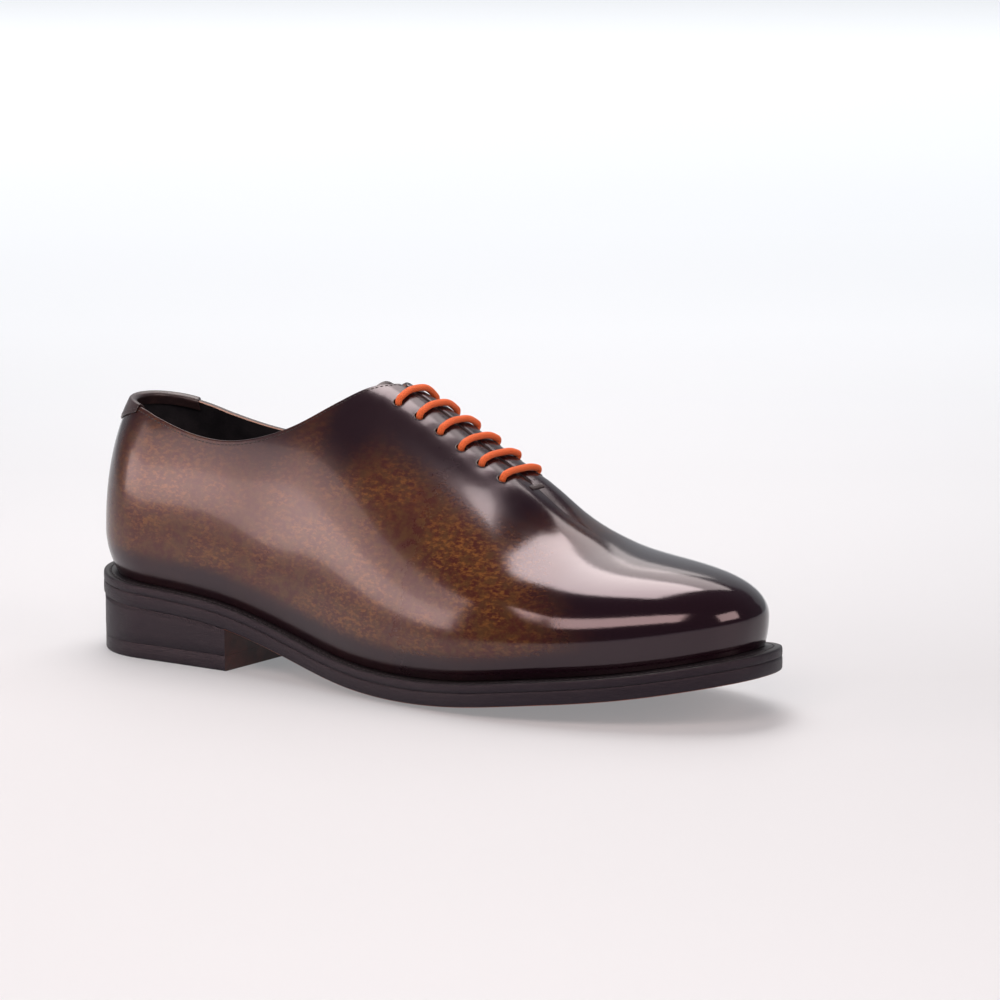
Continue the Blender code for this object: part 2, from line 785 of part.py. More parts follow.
def main():
    clear_scene()
    shoe = make_collection("whole_cut_oxford")
    cutters = make_collection("cutters")
    calf = make_material("polished_calf", (0.16, 0.075, 0.045), 0.18)
    dark_calf = make_material("dark_calf", (0.07, 0.045, 0.038), 0.30)
    lining = make_material("lining_leather", (0.03, 0.028, 0.03), 0.60)
    edge = make_material("dyed_edge", (0.025, 0.022, 0.024), 0.35)
    cord = make_material("waxed_cord", (0.80, 0.17, 0.05), 0.60)
    build_outsole(edge, shoe)
    build_welt(edge, shoe)
    build_heel(edge, shoe)
    build_insole(lining, shoe)
    build_upper(calf, shoe, cutters)
    build_tongue(dark_calf, shoe)
    build_tab(dark_calf, shoe)
    build_lace(cord, shoe, cutters)


if __name__ == "__main__":
    main()
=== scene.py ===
"""Looks of a whole cut oxford for the right foot: burnished calf, a dyed welted sole, a cord lace.

The last's stations are those of the part's source. Fine surfaces are laid over the same form and
dressed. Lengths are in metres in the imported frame: +X to the toe, +Y to the inner side of the
foot, +Z up. Colours are linear.
"""
import logging
import math
from dataclasses import dataclass, field
from enum import Enum
from typing import Callable, Optional, Sequence

import bmesh
import bpy
import numpy as np
from mathutils import Matrix, Vector
from mathutils.kdtree import KDTree


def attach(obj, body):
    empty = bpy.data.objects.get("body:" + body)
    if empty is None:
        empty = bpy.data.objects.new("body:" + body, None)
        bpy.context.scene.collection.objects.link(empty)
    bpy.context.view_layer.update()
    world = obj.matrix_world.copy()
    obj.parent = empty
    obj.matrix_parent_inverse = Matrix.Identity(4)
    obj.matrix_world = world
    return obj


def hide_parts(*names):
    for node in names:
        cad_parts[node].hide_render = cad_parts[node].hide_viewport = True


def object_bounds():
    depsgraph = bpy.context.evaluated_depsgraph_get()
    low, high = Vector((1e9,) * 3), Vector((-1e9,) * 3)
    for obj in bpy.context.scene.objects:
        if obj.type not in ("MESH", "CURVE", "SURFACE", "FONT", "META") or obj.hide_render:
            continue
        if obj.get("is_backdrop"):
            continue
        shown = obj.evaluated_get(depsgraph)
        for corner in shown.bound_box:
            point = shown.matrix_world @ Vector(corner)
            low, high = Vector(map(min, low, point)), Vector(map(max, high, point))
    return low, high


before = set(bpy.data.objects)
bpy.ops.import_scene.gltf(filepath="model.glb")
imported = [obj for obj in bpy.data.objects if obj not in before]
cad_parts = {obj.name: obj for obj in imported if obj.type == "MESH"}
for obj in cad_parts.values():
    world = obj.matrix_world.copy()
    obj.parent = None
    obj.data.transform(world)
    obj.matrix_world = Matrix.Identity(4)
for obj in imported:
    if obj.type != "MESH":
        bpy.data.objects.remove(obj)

Array = np.ndarray
Colour = tuple[float, float, float]
Paths = Sequence[tuple[Array, Array]]

log = logging.getLogger("oxford")


class Side(Enum):
    """The outer and the inner side of the shoe, as the sign of Y."""

    LATERAL = -1
    MEDIAL = 1

    @property
    def column(self) -> str:
        """Name of this side's column in the last's tables."""
        return self.name.lower()

    @property
    def other(self) -> "Side":
        """The opposite side."""
        return Side(-self.value)


class Slot(Enum):
    """The record's material slots."""

    CALF = "polished_calf"
    DARK_CALF = "dark_calf"
    LINING = "lining"
    EDGE = "dyed_edge"
    RUBBER = "top_piece_rubber"
    CORD = "lace_cord"


def smooth(low: float, high: float, value: Array) -> Array:
    """A soft step from 0 at low to 1 at high.

    Args:
        low: Where the step starts.
        high: Where it ends.
        value: What is stepped.

    Returns:
        Shares from 0 to 1, in the shape of value.
    """
    share = np.clip((np.asarray(value, float) - low) / (high - low), 0, 1)
    return share * share * (3 - 2 * share)


def bell(value: Array, middle: float, width: float) -> Array:
    """A soft hill of height 1 at middle that has sunk to 0.37 at width."""
    return np.exp(-(((value - middle) / width) ** 2))


def unit(vectors: Array) -> Array:
    """The vectors along the last axis, made 1 long."""
    return vectors / np.linalg.norm(vectors, axis=-1)[..., None]


def run_along(points: Array) -> Array:
    """How far each point of a line lies along it."""
    return np.concatenate([[0], np.linalg.norm(np.diff(points, axis=0), axis=1).cumsum()])


def round_heel(lateral: Array, medial: Array) -> Array:
    """One row round the heel's back, made of two that both start there."""
    return np.concatenate([lateral[:0:-1], medial])


class Table:
    """Rows of numbers with named columns, read between the rows by a natural cubic."""

    def __init__(self, names: str, *rows: Sequence[float]) -> None:
        """Work out the cubic's bends.

        Args:
            names: The columns' names, of which the first is the share along the last.
            rows: One tuple of numbers per row.
        """
        self.names = names.split()
        self.rows = np.array(rows, float)
        self.knots = self.rows[:, 0]
        steps = np.diff(self.knots)
        matrix = np.eye(len(self.knots))
        slopes = np.diff(self.rows, axis=0) / steps[:, None]
        right = np.zeros_like(self.rows)
        for i in range(1, len(self.knots) - 1):
            matrix[i, i - 1 : i + 2] = steps[i - 1], 2 * (steps[i - 1] + steps[i]), steps[i]
            right[i] = 6 * (slopes[i] - slopes[i - 1])
        self.bends = np.linalg.solve(matrix, right)

    def __call__(self, name: str, share: Array) -> Array:
        """Read a column.

        Args:
            name: The column.
            share: Shares along the last.

        Returns:
            The column's values there.
        """
        column = self.names.index(name)
        share = np.clip(share, self.knots[0], self.knots[-1])
        i = np.clip(np.searchsorted(self.knots, share) - 1, 0, len(self.knots) - 2)
        step = self.knots[i + 1] - self.knots[i]
        a = (self.knots[i + 1] - share) / step
        b = 1 - a
        bend = (a**3 - a) * self.bends[i, column] + (b**3 - b) * self.bends[i + 1, column]
        return a * self.rows[i, column] + b * self.rows[i + 1, column] + bend * step**2 / 6


# Shares of the last's length. Widths are shares of the ball width, on either side of the centre.
PLAN = Table(
    "share lateral medial centre ridge",
    (0.00, 0.350, 0.345, 0.000, 0.000),
    (0.12, 0.335, 0.338, 0.002, 0.000),
    (0.24, 0.338, 0.325, 0.004, 0.010),
    (0.36, 0.356, 0.310, 0.003, 0.040),
    (0.48, 0.428, 0.345, 0.003, 0.060),
    (0.58, 0.475, 0.412, 0.011, 0.058),
    (0.66, 0.498, 0.460, 0.021, 0.050),
    (0.74, 0.490, 0.470, 0.035, 0.035),
    (0.82, 0.455, 0.452, 0.057, 0.020),
    (0.91, 0.412, 0.417, 0.071, 0.008),
    (1.00, 0.372, 0.371, 0.080, 0.000),
)

# Crown is the arch's height over the feather line, as a share of the instep height. Round and
# full are the exponents of the arch. Bulge and widest are the skirt's overhang and height, as
# shares of the ball width.
FORM = Table(
    "share crown round full bulge widest",
    (0.00, 0.950, 1.85, 2.10, 0.044, 0.165),
    (0.12, 0.980, 1.80, 2.10, 0.040, 0.165),
    (0.28, 1.100, 1.75, 2.00, 0.034, 0.165),
    (0.42, 1.195, 1.75, 1.90, 0.034, 0.160),
    (0.50, 1.115, 1.80, 1.90, 0.036, 0.150),
    (0.60, 0.920, 1.80, 1.90, 0.038, 0.135),
    (0.66, 0.790, 1.85, 1.95, 0.038, 0.130),
    (0.72, 0.640, 1.90, 1.98, 0.036, 0.125),
    (0.79, 0.510, 2.00, 2.00, 0.032, 0.120),
    (0.87, 0.455, 2.15, 2.00, 0.024, 0.115),
    (1.00, 0.430, 2.30, 2.00, 0.014, 0.110),
)

# Height of the welt over its lowest place, as shares of heel pitch and toe spring.
RISE = Table(
    "share heel toe",
    (0.00, 1.080, 0.000),
    (0.12, 0.940, 0.000),
    (0.25, 0.780, 0.000),
    (0.36, 0.415, 0.000),
    (0.46, 0.120, 0.010),
    (0.56, 0.005, 0.020),
    (0.66, 0.000, 0.100),
    (0.76, 0.000, 0.310),
    (0.88, 0.000, 0.580),
    (1.00, 0.000, 0.980),
)

# How far the welt stands out from the feather line, as shares of its widest reach.
REACH = Table(
    "share lateral medial",
    (0.00, 0.84, 0.84),
    (0.20, 0.72, 0.66),
    (0.40, 0.62, 0.45),
    (0.60, 0.86, 0.70),
    (0.80, 1.00, 0.92),
    (1.00, 1.00, 1.00),
)

# The topline's height over the feather line, as shares of the instep height.
TOPLINE = Table(
    "share lateral medial",
    (0.00, 0.795, 0.795),
    (0.05, 0.798, 0.780),
    (0.10, 0.786, 0.750),
    (0.15, 0.752, 0.716),
    (0.20, 0.732, 0.696),
    (0.25, 0.750, 0.712),
    (0.30, 0.822, 0.785),
    (0.35, 0.938, 0.905),
    (0.40, 1.085, 1.060),
    (0.44, 1.165, 1.155),
    (0.47, 1.190, 1.190),
)


@dataclass
class Last:
    """The form that the shoe is made on, with the thicknesses that its pieces share."""

    length: float = 0.2985
    ball_width: float = 0.1010
    instep_height: float = 0.0860
    heel_pitch: float = 0.0205
    toe_spring: float = 0.0170
    wall: float = 0.0020
    welt_thickness: float = 0.0035
    welt_reach: float = 0.0066
    welt_seat: float = 0.0045
    outsole_thickness: float = 0.0053
    tread_crown: float = 0.0020
    tread_flat: float = 0.0007
    clearance: float = 0.0003
    heel_round: float = 0.115
    toe_round: float = 0.790
    heel_lean: float = 0.64
    throat_gap: float = 0.0016
    throat_end: float = 0.660
    shoulder_rise: float = 0.0021
    shoulder_place: float = 0.0112
    shoulder_inner: float = 0.0085
    shoulder_outer: float = 0.0064
    outline_stations: int = 480
    fine_levels: int = 400
    halvings: int = 30
    centre: Array = field(init=False)

    def __post_init__(self) -> None:
        """Find the middle of the welt's box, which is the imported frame's origin."""
        t = np.linspace(0, 3, self.outline_stations)
        self.centre = np.zeros(2)
        edges = np.concatenate([self.welt_edge(side, t) for side in Side])
        self.centre = (edges.min(0) + edges.max(0)) / 2

    def station(self, t: Array) -> tuple[Array, Array]:
        """Find where a rib stands.

        Args:
            t: 0 at the heel's back, 1 and 2 where the two rounds end, 3 at the tip.

        Returns:
            The share along the last, and how far the plan is still open there.
        """
        t = np.asarray(t, float)
        heel = np.clip(t, 0, 1) * math.pi / 2
        toe = np.clip(t - 2, 0, 1) * math.pi / 2
        middle = self.heel_round + (self.toe_round - self.heel_round) * np.clip(t - 1, 0, 1)
        share = np.where(t < 1, self.heel_round * (1 - np.cos(heel)), middle)
        share = np.where(t > 2, self.toe_round + (1 - self.toe_round) * np.sin(toe), share)
        return share, np.where(t > 2, np.cos(toe) ** 2, 1.0)

    def station_at(self, share: float) -> float:
        """The t that lies at this share, up to the toe's round."""
        if share < self.heel_round:
            return math.acos(1 - share / self.heel_round) / (math.pi / 2)
        return 1 + (share - self.heel_round) / (self.toe_round - self.heel_round)

    def stations(self, heel: int, middle: int, toe: int) -> Array:
        """Stations from the heel's back to the tip, one of them at the throat's end.

        Args:
            heel: Steps in the heel's round.
            middle: Steps between the rounds.
            toe: Steps in the toe's round.

        Returns:
            The stations.
        """
        back = np.linspace(0, 1, heel + 1)
        front = np.linspace(2, 3, toe + 1)
        t = np.concatenate([back, np.linspace(1, 2, middle + 1)[1:-1], front])
        end = self.station_at(self.throat_end)
        t[np.abs(t - end).argmin()] = end
        return t

    def widest_outline(self, side: Side, t: Array) -> Array:
        """The last's widest line seen from above, as (n, 2)."""
        share, room = self.station(t)
        sine = np.sin(np.clip(t, 0, 1) * math.pi / 2)
        half = PLAN(side.column, share) * self.ball_width * room ** (1 / FORM("round", share))
        y = PLAN("centre", share) * self.ball_width + side.value * half * sine
        return np.stack([share * self.length, y], -1) - self.centre

    def outward(self, side: Side, t: Array) -> Array:
        """Unit vectors square to the widest line and away from it."""
        t = np.asarray(t, float)
        step = 1e-4
        along = self.widest_outline(side, np.clip(t + step, 0, 3))
        along = along - self.widest_outline(side, np.clip(t - step, 0, 3))
        along[t <= step] = 0, side.value
        along[t >= 3 - step] = 0, -side.value
        along /= np.linalg.norm(along, axis=-1)[..., None]
        return np.stack([-along[..., 1], along[..., 0]], -1) * side.value

    def feather(self, side: Side, t: Array, grow: Array = 0.0) -> Array:
        """The feather line, where the upper meets the welt, moved out by grow."""
        shift = grow - FORM("bulge", self.station(t)[0]) * self.ball_width
        return self.widest_outline(side, t) + self.outward(side, t) * shift[..., None]

    def reach(self, side: Side, t: Array) -> Array:
        """How far the welt stands out from the feather line."""
        return REACH(side.column, self.station(t)[0]) * self.welt_reach

    def welt_edge(self, side: Side, t: Array, inset: Array = 0.0) -> Array:
        """The edge of welt and outsole, moved in by inset."""
        return self.feather(side, t, self.reach(side, t) - inset)

    def welt_top(self, t: Array) -> Array:
        """Height of the welt's top face over the floor."""
        share, _ = self.station(t)
        tread = self.tread_crown - self.tread_flat + self.outsole_thickness
        base = tread + self.clearance + self.welt_thickness
        return base + RISE("heel", share) * self.heel_pitch + RISE("toe", share) * self.toe_spring

    def outsole_top(self, t: Array) -> Array:
        """Height of the outsole's top face over the floor."""
        return self.welt_top(t) - self.welt_thickness - self.clearance

    def outsole_bottom(self, t: Array) -> Array:
        """Height of the outsole's bottom edge over the floor."""
        return self.outsole_top(t) - self.outsole_thickness

    def arch(self, side: Side, t: Array, level: Array) -> Array:
        """Points of the upper's outer face.

        Args:
            side: The side of the shoe.
            t: Stations, as (n,).
            level: -1 on the feather line, 0 on the widest line, 1 on the crown, as (n, k).

        Returns:
            The points, as (n, k, 3).
        """
        t = np.asarray(t, float)
        share, room = self.station(t)
        up = np.clip(level, 0, 1)
        low = np.clip(-level, 0, 1)
        full = FORM("full", share)[:, None]
        rise = up * room[:, None] ** (1 / full)
        shrink = 1 / FORM("round", share)[:, None]
        narrow = np.clip(room[:, None] - rise**full, 0, None) ** shrink
        turn = (np.clip(t, 0, 1) * math.pi / 2)[:, None]
        middle = (PLAN("centre", share) * self.ball_width)[:, None]
        ridge = (PLAN("ridge", share) * self.ball_width)[:, None]
        half = (PLAN(side.column, share) * self.ball_width)[:, None]
        lean = self.heel_round * self.length * self.heel_lean * np.cos(turn) * (t < 1)[:, None]
        tuck = (FORM("bulge", share) * self.ball_width)[:, None] * low**2
        out = self.outward(side, t)
        x = share[:, None] * self.length + lean * (1 - narrow) - out[:, :1] * tuck
        sweep = side.value * half * np.sin(turn) * narrow
        y = middle + ridge * rise**1.5 + sweep - out[:, 1:] * tuck
        crown = (FORM("crown", share) * self.instep_height)[:, None]
        widest = (FORM("widest", share) * self.ball_width)[:, None]
        foot = (self.welt_top(t) + self.clearance)[:, None]
        z = foot + widest * (1 - low) + rise * (crown - widest)
        return np.stack([x - self.centre[0], y - self.centre[1], z], -1)

    def face_normal(self, side: Side, t: Array, level: Array) -> Array:
        """Unit vectors out of the upper's outer face at the same stations and levels."""
        step, margin = 1e-3, 5e-3
        inner_t = np.clip(np.asarray(t, float), 2 * step, 3 - margin)
        inner = np.clip(level, margin - 1, 1 - margin)
        along = self.arch(side, inner_t + step, inner) - self.arch(side, inner_t - step, inner)
        up = self.arch(side, inner_t, inner + step) - self.arch(side, inner_t, inner - step)
        return unit(np.cross(along, up) * side.value * -1)

    def shoulder(self, side: Side, t: Array, level: Array) -> Array:
        """Rise of the instep beside the crown, where the facings turn down into the sides."""
        share, _ = self.station(t)
        crown = self.arch(side, t, np.ones((len(t), 1)))[..., 1]
        beside = np.abs(self.arch(side, t, level)[..., 1] - crown)
        open_here = smooth(0.375, 0.455, share) * smooth(0.800, 0.600, share)
        outer = beside > self.shoulder_place
        width = np.where(outer, self.shoulder_outer, self.shoulder_inner)
        return self.shoulder_rise * open_here[:, None] * bell(beside, self.shoulder_place, width)

    def lifted(self, side: Side, t: Array, level: Array, height: Array) -> Array:
        """Points at this height over the upper's outer face."""
        t = np.asarray(t, float)
        height = np.broadcast_to(height, np.shape(level)) + self.shoulder(side, t, level)
        return self.arch(side, t, level) + self.face_normal(side, t, level) * height[..., None]

    def solve_level(self, side: Side, t: Array, excess: Callable[[Array], Array]) -> Array:
        """The level where excess(points) turns positive on each rib, or 1."""
        low = np.zeros(len(t))
        high = np.ones(len(t))
        for _ in range(self.halvings):
            middle = (low + high) / 2
            past = excess(self.arch(side, t, middle[:, None])[:, 0]) > 0
            high = np.where(past, middle, high)
            low = np.where(past, low, middle)
        return high

    def level_beside(self, side: Side, t: Array, distance: Array) -> Array:
        """The level at which each rib passes at this distance beside the crown."""
        crown = self.arch(side, t, np.ones((len(t), 1)))[:, 0, 1]
        return self.solve_level(side, t, lambda p: distance - np.abs(p[:, 1] - crown))

    def is_open(self, share: Array) -> Array:
        """Whether the ribs at these shares end at a rim, and not at the other side's."""
        return share < self.throat_end - 1e-6

    def top_level(self, side: Side, t: Array) -> Array:
        """The level at which each rib ends: topline, facing's edge or crown."""
        share, _ = self.station(t)
        limit = TOPLINE(side.column, share) * self.instep_height + self.welt_top(t)
        limit = np.where(share < TOPLINE.knots[-1], limit, np.inf)
        topline = self.solve_level(side, t, lambda p: p[:, 2] - limit)
        open_throat = (share > self.heel_round) & self.is_open(share)
        edge = self.level_beside(side, t, self.throat_gap / 2)
        return np.minimum(topline, np.where(open_throat, edge, 1))

    def runs(self, side: Side, t: Array, levels: Array) -> Array:
        """Distance along each rib from its first level, in the shape of levels."""
        steps = np.linalg.norm(np.diff(self.arch(side, t, levels), axis=1), axis=2)
        return np.concatenate([np.zeros((len(t), 1)), steps.cumsum(1)], 1)

    def spaced_levels(self, side: Side, t: Array, ends: tuple[Array, Array], count: int) -> Array:
        """Levels between two ends, spaced evenly along each rib.

        Args:
            side: The side of the shoe.
            t: Stations.
            ends: First and last level of each rib.
            count: Levels per rib.

        Returns:
            The levels, as (n, count).
        """
        start, stop = ends
        fine = np.linspace(0, 1, self.fine_levels)[None, :]
        levels = start[:, None] + (stop - start)[:, None] * fine
        runs = self.runs(side, t, levels)
        wanted = runs[:, -1:] * np.linspace(0, 1, count)[None, :]
        return np.stack([np.interp(*row) for row in zip(wanted, runs, levels)])

    def level_below(self, side: Side, t: Array, top: Array, depth: Array) -> Array:
        """The level this far down each rib from top."""
        levels = top[:, None] * np.linspace(1, 0, self.fine_levels)[None, :]
        runs = self.runs(side, t, levels)
        depth = np.broadcast_to(depth, np.shape(t))
        return np.stack([np.interp(*row) for row in zip(depth, runs, levels)])


# Meshes


def grid_faces(rows: int, columns: int, first: int = 0, flip: bool = False) -> list[tuple]:
    """Quads over points numbered row by row.

    Args:
        rows: Rows of points.
        columns: Points in a row.
        first: The first point's number.
        flip: Turn the faces round.

    Returns:
        The faces.
    """
    a = (first + np.arange(rows - 1)[:, None] * columns + np.arange(columns - 1)[None, :]).ravel()
    quads = np.stack([a, a + 1, a + columns + 1, a + columns], 1)
    return [tuple(q) for q in (quads[:, ::-1] if flip else quads).tolist()]


def ring_faces(rows: int, around: int, first: int = 0) -> list[tuple]:
    """Quads over closed rings of points numbered ring by ring."""
    faces = []
    for i in range(rows - 1):
        for j in range(around):
            k = (j + 1) % around
            a, b = first + i * around, first + (i + 1) * around
            faces.append((a + j, a + k, b + k, b + j))
    return faces


def build_mesh(
    name: str,
    points: Array,
    faces: Sequence[tuple],
    values: Optional[dict[str, Array]] = None,
    materials: Optional[Array] = None,
) -> bpy.types.Mesh:
    """Make a mesh, with coinciding points merged and the faces kept turned as given.

    Args:
        name: The mesh's name.
        points: Points, as (n, 3).
        faces: Tuples of point numbers.
        values: Named numbers per point, for the materials to read.
        materials: Material index per face.

    Returns:
        The mesh.
    """
    keys = np.round(points / 2e-6).astype(np.int64)
    _, first, index = np.unique(keys, axis=0, return_index=True, return_inverse=True)
    index = index.reshape(-1)
    kept, chosen = [], []
    for number, face in enumerate(faces):
        corners = list(dict.fromkeys(int(index[i]) for i in face))
        if len(corners) > 2:
            kept.append(corners)
            chosen.append(number)
    mesh = bpy.data.meshes.new(name)
    mesh.from_pydata(points[first].tolist(), [], kept)
    for key, value in (values or {}).items():
        attribute = mesh.attributes.new(key, "FLOAT", "POINT")
        attribute.data.foreach_set("value", np.asarray(value, np.float32).reshape(-1)[first])
    if materials is not None:
        mesh.polygons.foreach_set("material_index", np.asarray(materials, np.int32)[chosen])
    mesh.validate()
    return mesh


def add_piece(name: str, mesh: bpy.types.Mesh, sharp: float = 40.0) -> bpy.types.Object:
    """Link a mesh as a smooth-shaded piece.

    Args:
        name: The piece's name.
        mesh: Its mesh.
        sharp: Edges that turn by more than this many degrees stay sharp.

    Returns:
        The object.
    """
    piece = bpy.data.objects.new(name, mesh)
    bpy.context.scene.collection.objects.link(piece)
    mesh.shade_smooth()
    mesh.set_sharp_from_angle(angle=math.radians(sharp))
    return piece


def face_out(mesh: bpy.types.Mesh) -> bpy.types.Mesh:
    """Turn a closed mesh's faces outwards."""
    shape = bmesh.new()
    shape.from_mesh(mesh)
    bmesh.ops.recalc_face_normals(shape, faces=shape.faces)
    shape.to_mesh(mesh)
    shape.free()
    return mesh


def paint(
    mesh: bpy.types.Mesh,
    *finishes: bpy.types.Material,
    second: Optional[Callable[[bpy.types.MeshPolygon], bool]] = None,
) -> bpy.types.Mesh:
    """Give a mesh its finishes.

    Args:
        mesh: The mesh.
        finishes: Its materials.
        second: Says which faces take the second one.

    Returns:
        The mesh.
    """
    for finish in finishes:
        mesh.materials.append(finish)
    if second:
        chosen = [int(second(face)) for face in mesh.polygons]
        mesh.polygons.foreach_set("material_index", chosen)
    return mesh


def plain_mesh(piece: bpy.types.Object) -> bpy.types.Object:
    """Replace a piece's mesh by what its modifiers make of it, and remove them."""
    graph = bpy.context.evaluated_depsgraph_get()
    mesh = bpy.data.meshes.new_from_object(piece.evaluated_get(graph))
    mesh.name = piece.name
    piece.modifiers.clear()
    piece.data = mesh
    return piece


def dress(piece: bpy.types.Object, slot: Slot, *replaced: str) -> bpy.types.Object:
    """Hand a finished piece to the frame.

    Args:
        piece: The piece.
        slot: A material slot of the record; not used.
        replaced: The CAD nodes that it stands for.

    Returns:
        The piece.
    """
    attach(piece, "root")
    if replaced:
        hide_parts(*replaced)
    log.info("%s: %d faces", piece.name, len(piece.data.polygons))
    return piece


# Finishes


class Shader:
    """A material's node tree under construction.

    OFFSET keeps the origin of every noise, where its octaves fall together, off the shoe.
    """

    OFFSET = (0.371, 0.613, 0.829)
    LACUNARITY = 2.13

    def __init__(self, name: str) -> None:
        """Start a material with a Principled shader.

        Args:
            name: The material's name.
        """
        self.material = bpy.data.materials.new(name)
        self.material.use_nodes = True
        self.material.cycles.use_bump_map_correction = False
        self.nodes = self.material.node_tree.nodes
        self.links = self.material.node_tree.links
        self.surface = self.nodes["Principled BSDF"]

    def node(self, kind: str, **settings: object) -> bpy.types.Node:
        """Add a node.

        Args:
            kind: The node's type.
            settings: Its properties.

        Returns:
            The node.
        """
        node = self.nodes.new(kind)
        for key, value in settings.items():
            setattr(node, key, value)
        return node

    def plug(self, source: object, target: bpy.types.NodeSocket) -> None:
        """Link a socket, or set a plain value."""
        if isinstance(source, bpy.types.NodeSocket):
            self.links.new(source, target)
        else:
            target.default_value = source

    def place(self, scale: Sequence[float] = (1, 1, 1)) -> bpy.types.NodeSocket:
        """Object coordinates, scaled."""
        mapping = self.node("ShaderNodeMapping")
        mapping.inputs["Location"].default_value = self.OFFSET
        mapping.inputs["Scale"].default_value = scale
        coordinates = self.node("ShaderNodeTexCoord").outputs["Object"]
        self.links.new(coordinates, mapping.inputs["Vector"])
        return mapping.outputs["Vector"]

    def value(self, name: str) -> bpy.types.NodeSocket:
        """A number that the mesh holds for each point."""
        return self.node("ShaderNodeAttribute", attribute_name=name).outputs["Fac"]

    def noise(
        self, place: object, scale: float, detail: float = 4.0, rough: float = 0.55
    ) -> bpy.types.NodeSocket:
        """Noise from 0 to 1.

        Args:
            place: Coordinates.
            scale: Cycles per metre.
            detail: Octaves.
            rough: How strong the finer octaves are.

        Returns:
            The socket.
        """
        node = self.node("ShaderNodeTexNoise")
        node.inputs["Scale"].default_value = scale
        node.inputs["Detail"].default_value = detail
        node.inputs["Roughness"].default_value = rough
        node.inputs["Lacunarity"].default_value = self.LACUNARITY
        self.links.new(place, node.inputs["Vector"])
        return node.outputs["Fac"]

    def pores(self, place: object, scale: float, depth: float) -> bpy.types.NodeSocket:
        """The normal of leather's pores: soft cells, scale to the metre and depth high."""
        cells = self.node("ShaderNodeTexVoronoi", feature="SMOOTH_F1")
        cells.inputs["Scale"].default_value = scale
        self.links.new(place, cells.inputs["Vector"])
        return self.bump(cells.outputs["Distance"], depth)

    def math(self, kind: str, a: object, b: object) -> bpy.types.NodeSocket:
        """Two sockets or numbers, added or multiplied or the like."""
        node = self.node("ShaderNodeMath", operation=kind)
        self.plug(a, node.inputs[0])
        self.plug(b, node.inputs[1])
        return node.outputs[0]

    def fit(
        self, value: object, ends: tuple[float, float], onto: tuple[float, float] = (0, 1)
    ) -> bpy.types.NodeSocket:
        """Stretch a number from one span onto another, held at its ends and eased.

        Args:
            value: The number.
            ends: Span that it comes from.
            onto: Span that it goes to.

        Returns:
            The socket.
        """
        node = self.node("ShaderNodeMapRange", interpolation_type="SMOOTHSTEP")
        self.plug(value, node.inputs["Value"])
        numbers = (*ends, *onto)
        for key, number in zip(("From Min", "From Max", "To Min", "To Max"), numbers):
            node.inputs[key].default_value = number
        return node.outputs["Result"]

    def tint(self, colour: object, target: bpy.types.NodeSocket) -> None:
        """Link a colour's socket, or set a linear colour."""
        self.plug((*colour, 1) if isinstance(colour, tuple) else colour, target)

    def mix(self, share: object, low: object, high: object) -> bpy.types.NodeSocket:
        """Blend two colours, each a socket or a linear colour."""
        node = self.node("ShaderNodeMix", data_type="RGBA")
        self.plug(share, node.inputs["Factor"])
        self.tint(low, node.inputs[6])
        self.tint(high, node.inputs[7])
        return node.outputs[2]

    def bump(self, height: object, depth: float, below: object = None) -> bpy.types.NodeSocket:
        """Raise the surface.

        Args:
            height: Height from 0 to 1.
            depth: Metres at height 1.
            below: An earlier bump that this one adds to.

        Returns:
            The normal.
        """
        node = self.node("ShaderNodeBump")
        node.inputs["Distance"].default_value = depth
        self.plug(height, node.inputs["Height"])
        if below is not None:
            self.plug(below, node.inputs["Normal"])
        return node.outputs["Normal"]

    def finish(
        self, colour: object, rough: object, normal: object, **sockets: object
    ) -> bpy.types.Material:
        """Fill in the surface.

        Args:
            colour: Base colour.
            rough: Roughness.
            normal: Bumped normal.
            sockets: Other sockets of the surface, named with underscores for spaces.

        Returns:
            The material.
        """
        self.tint(colour, self.surface.inputs["Base Color"])
        self.plug(rough, self.surface.inputs["Roughness"])
        self.plug(normal, self.surface.inputs["Normal"])
        for key, value in sockets.items():
            self.surface.inputs[key.replace("_", " ")].default_value = value
        return self.material


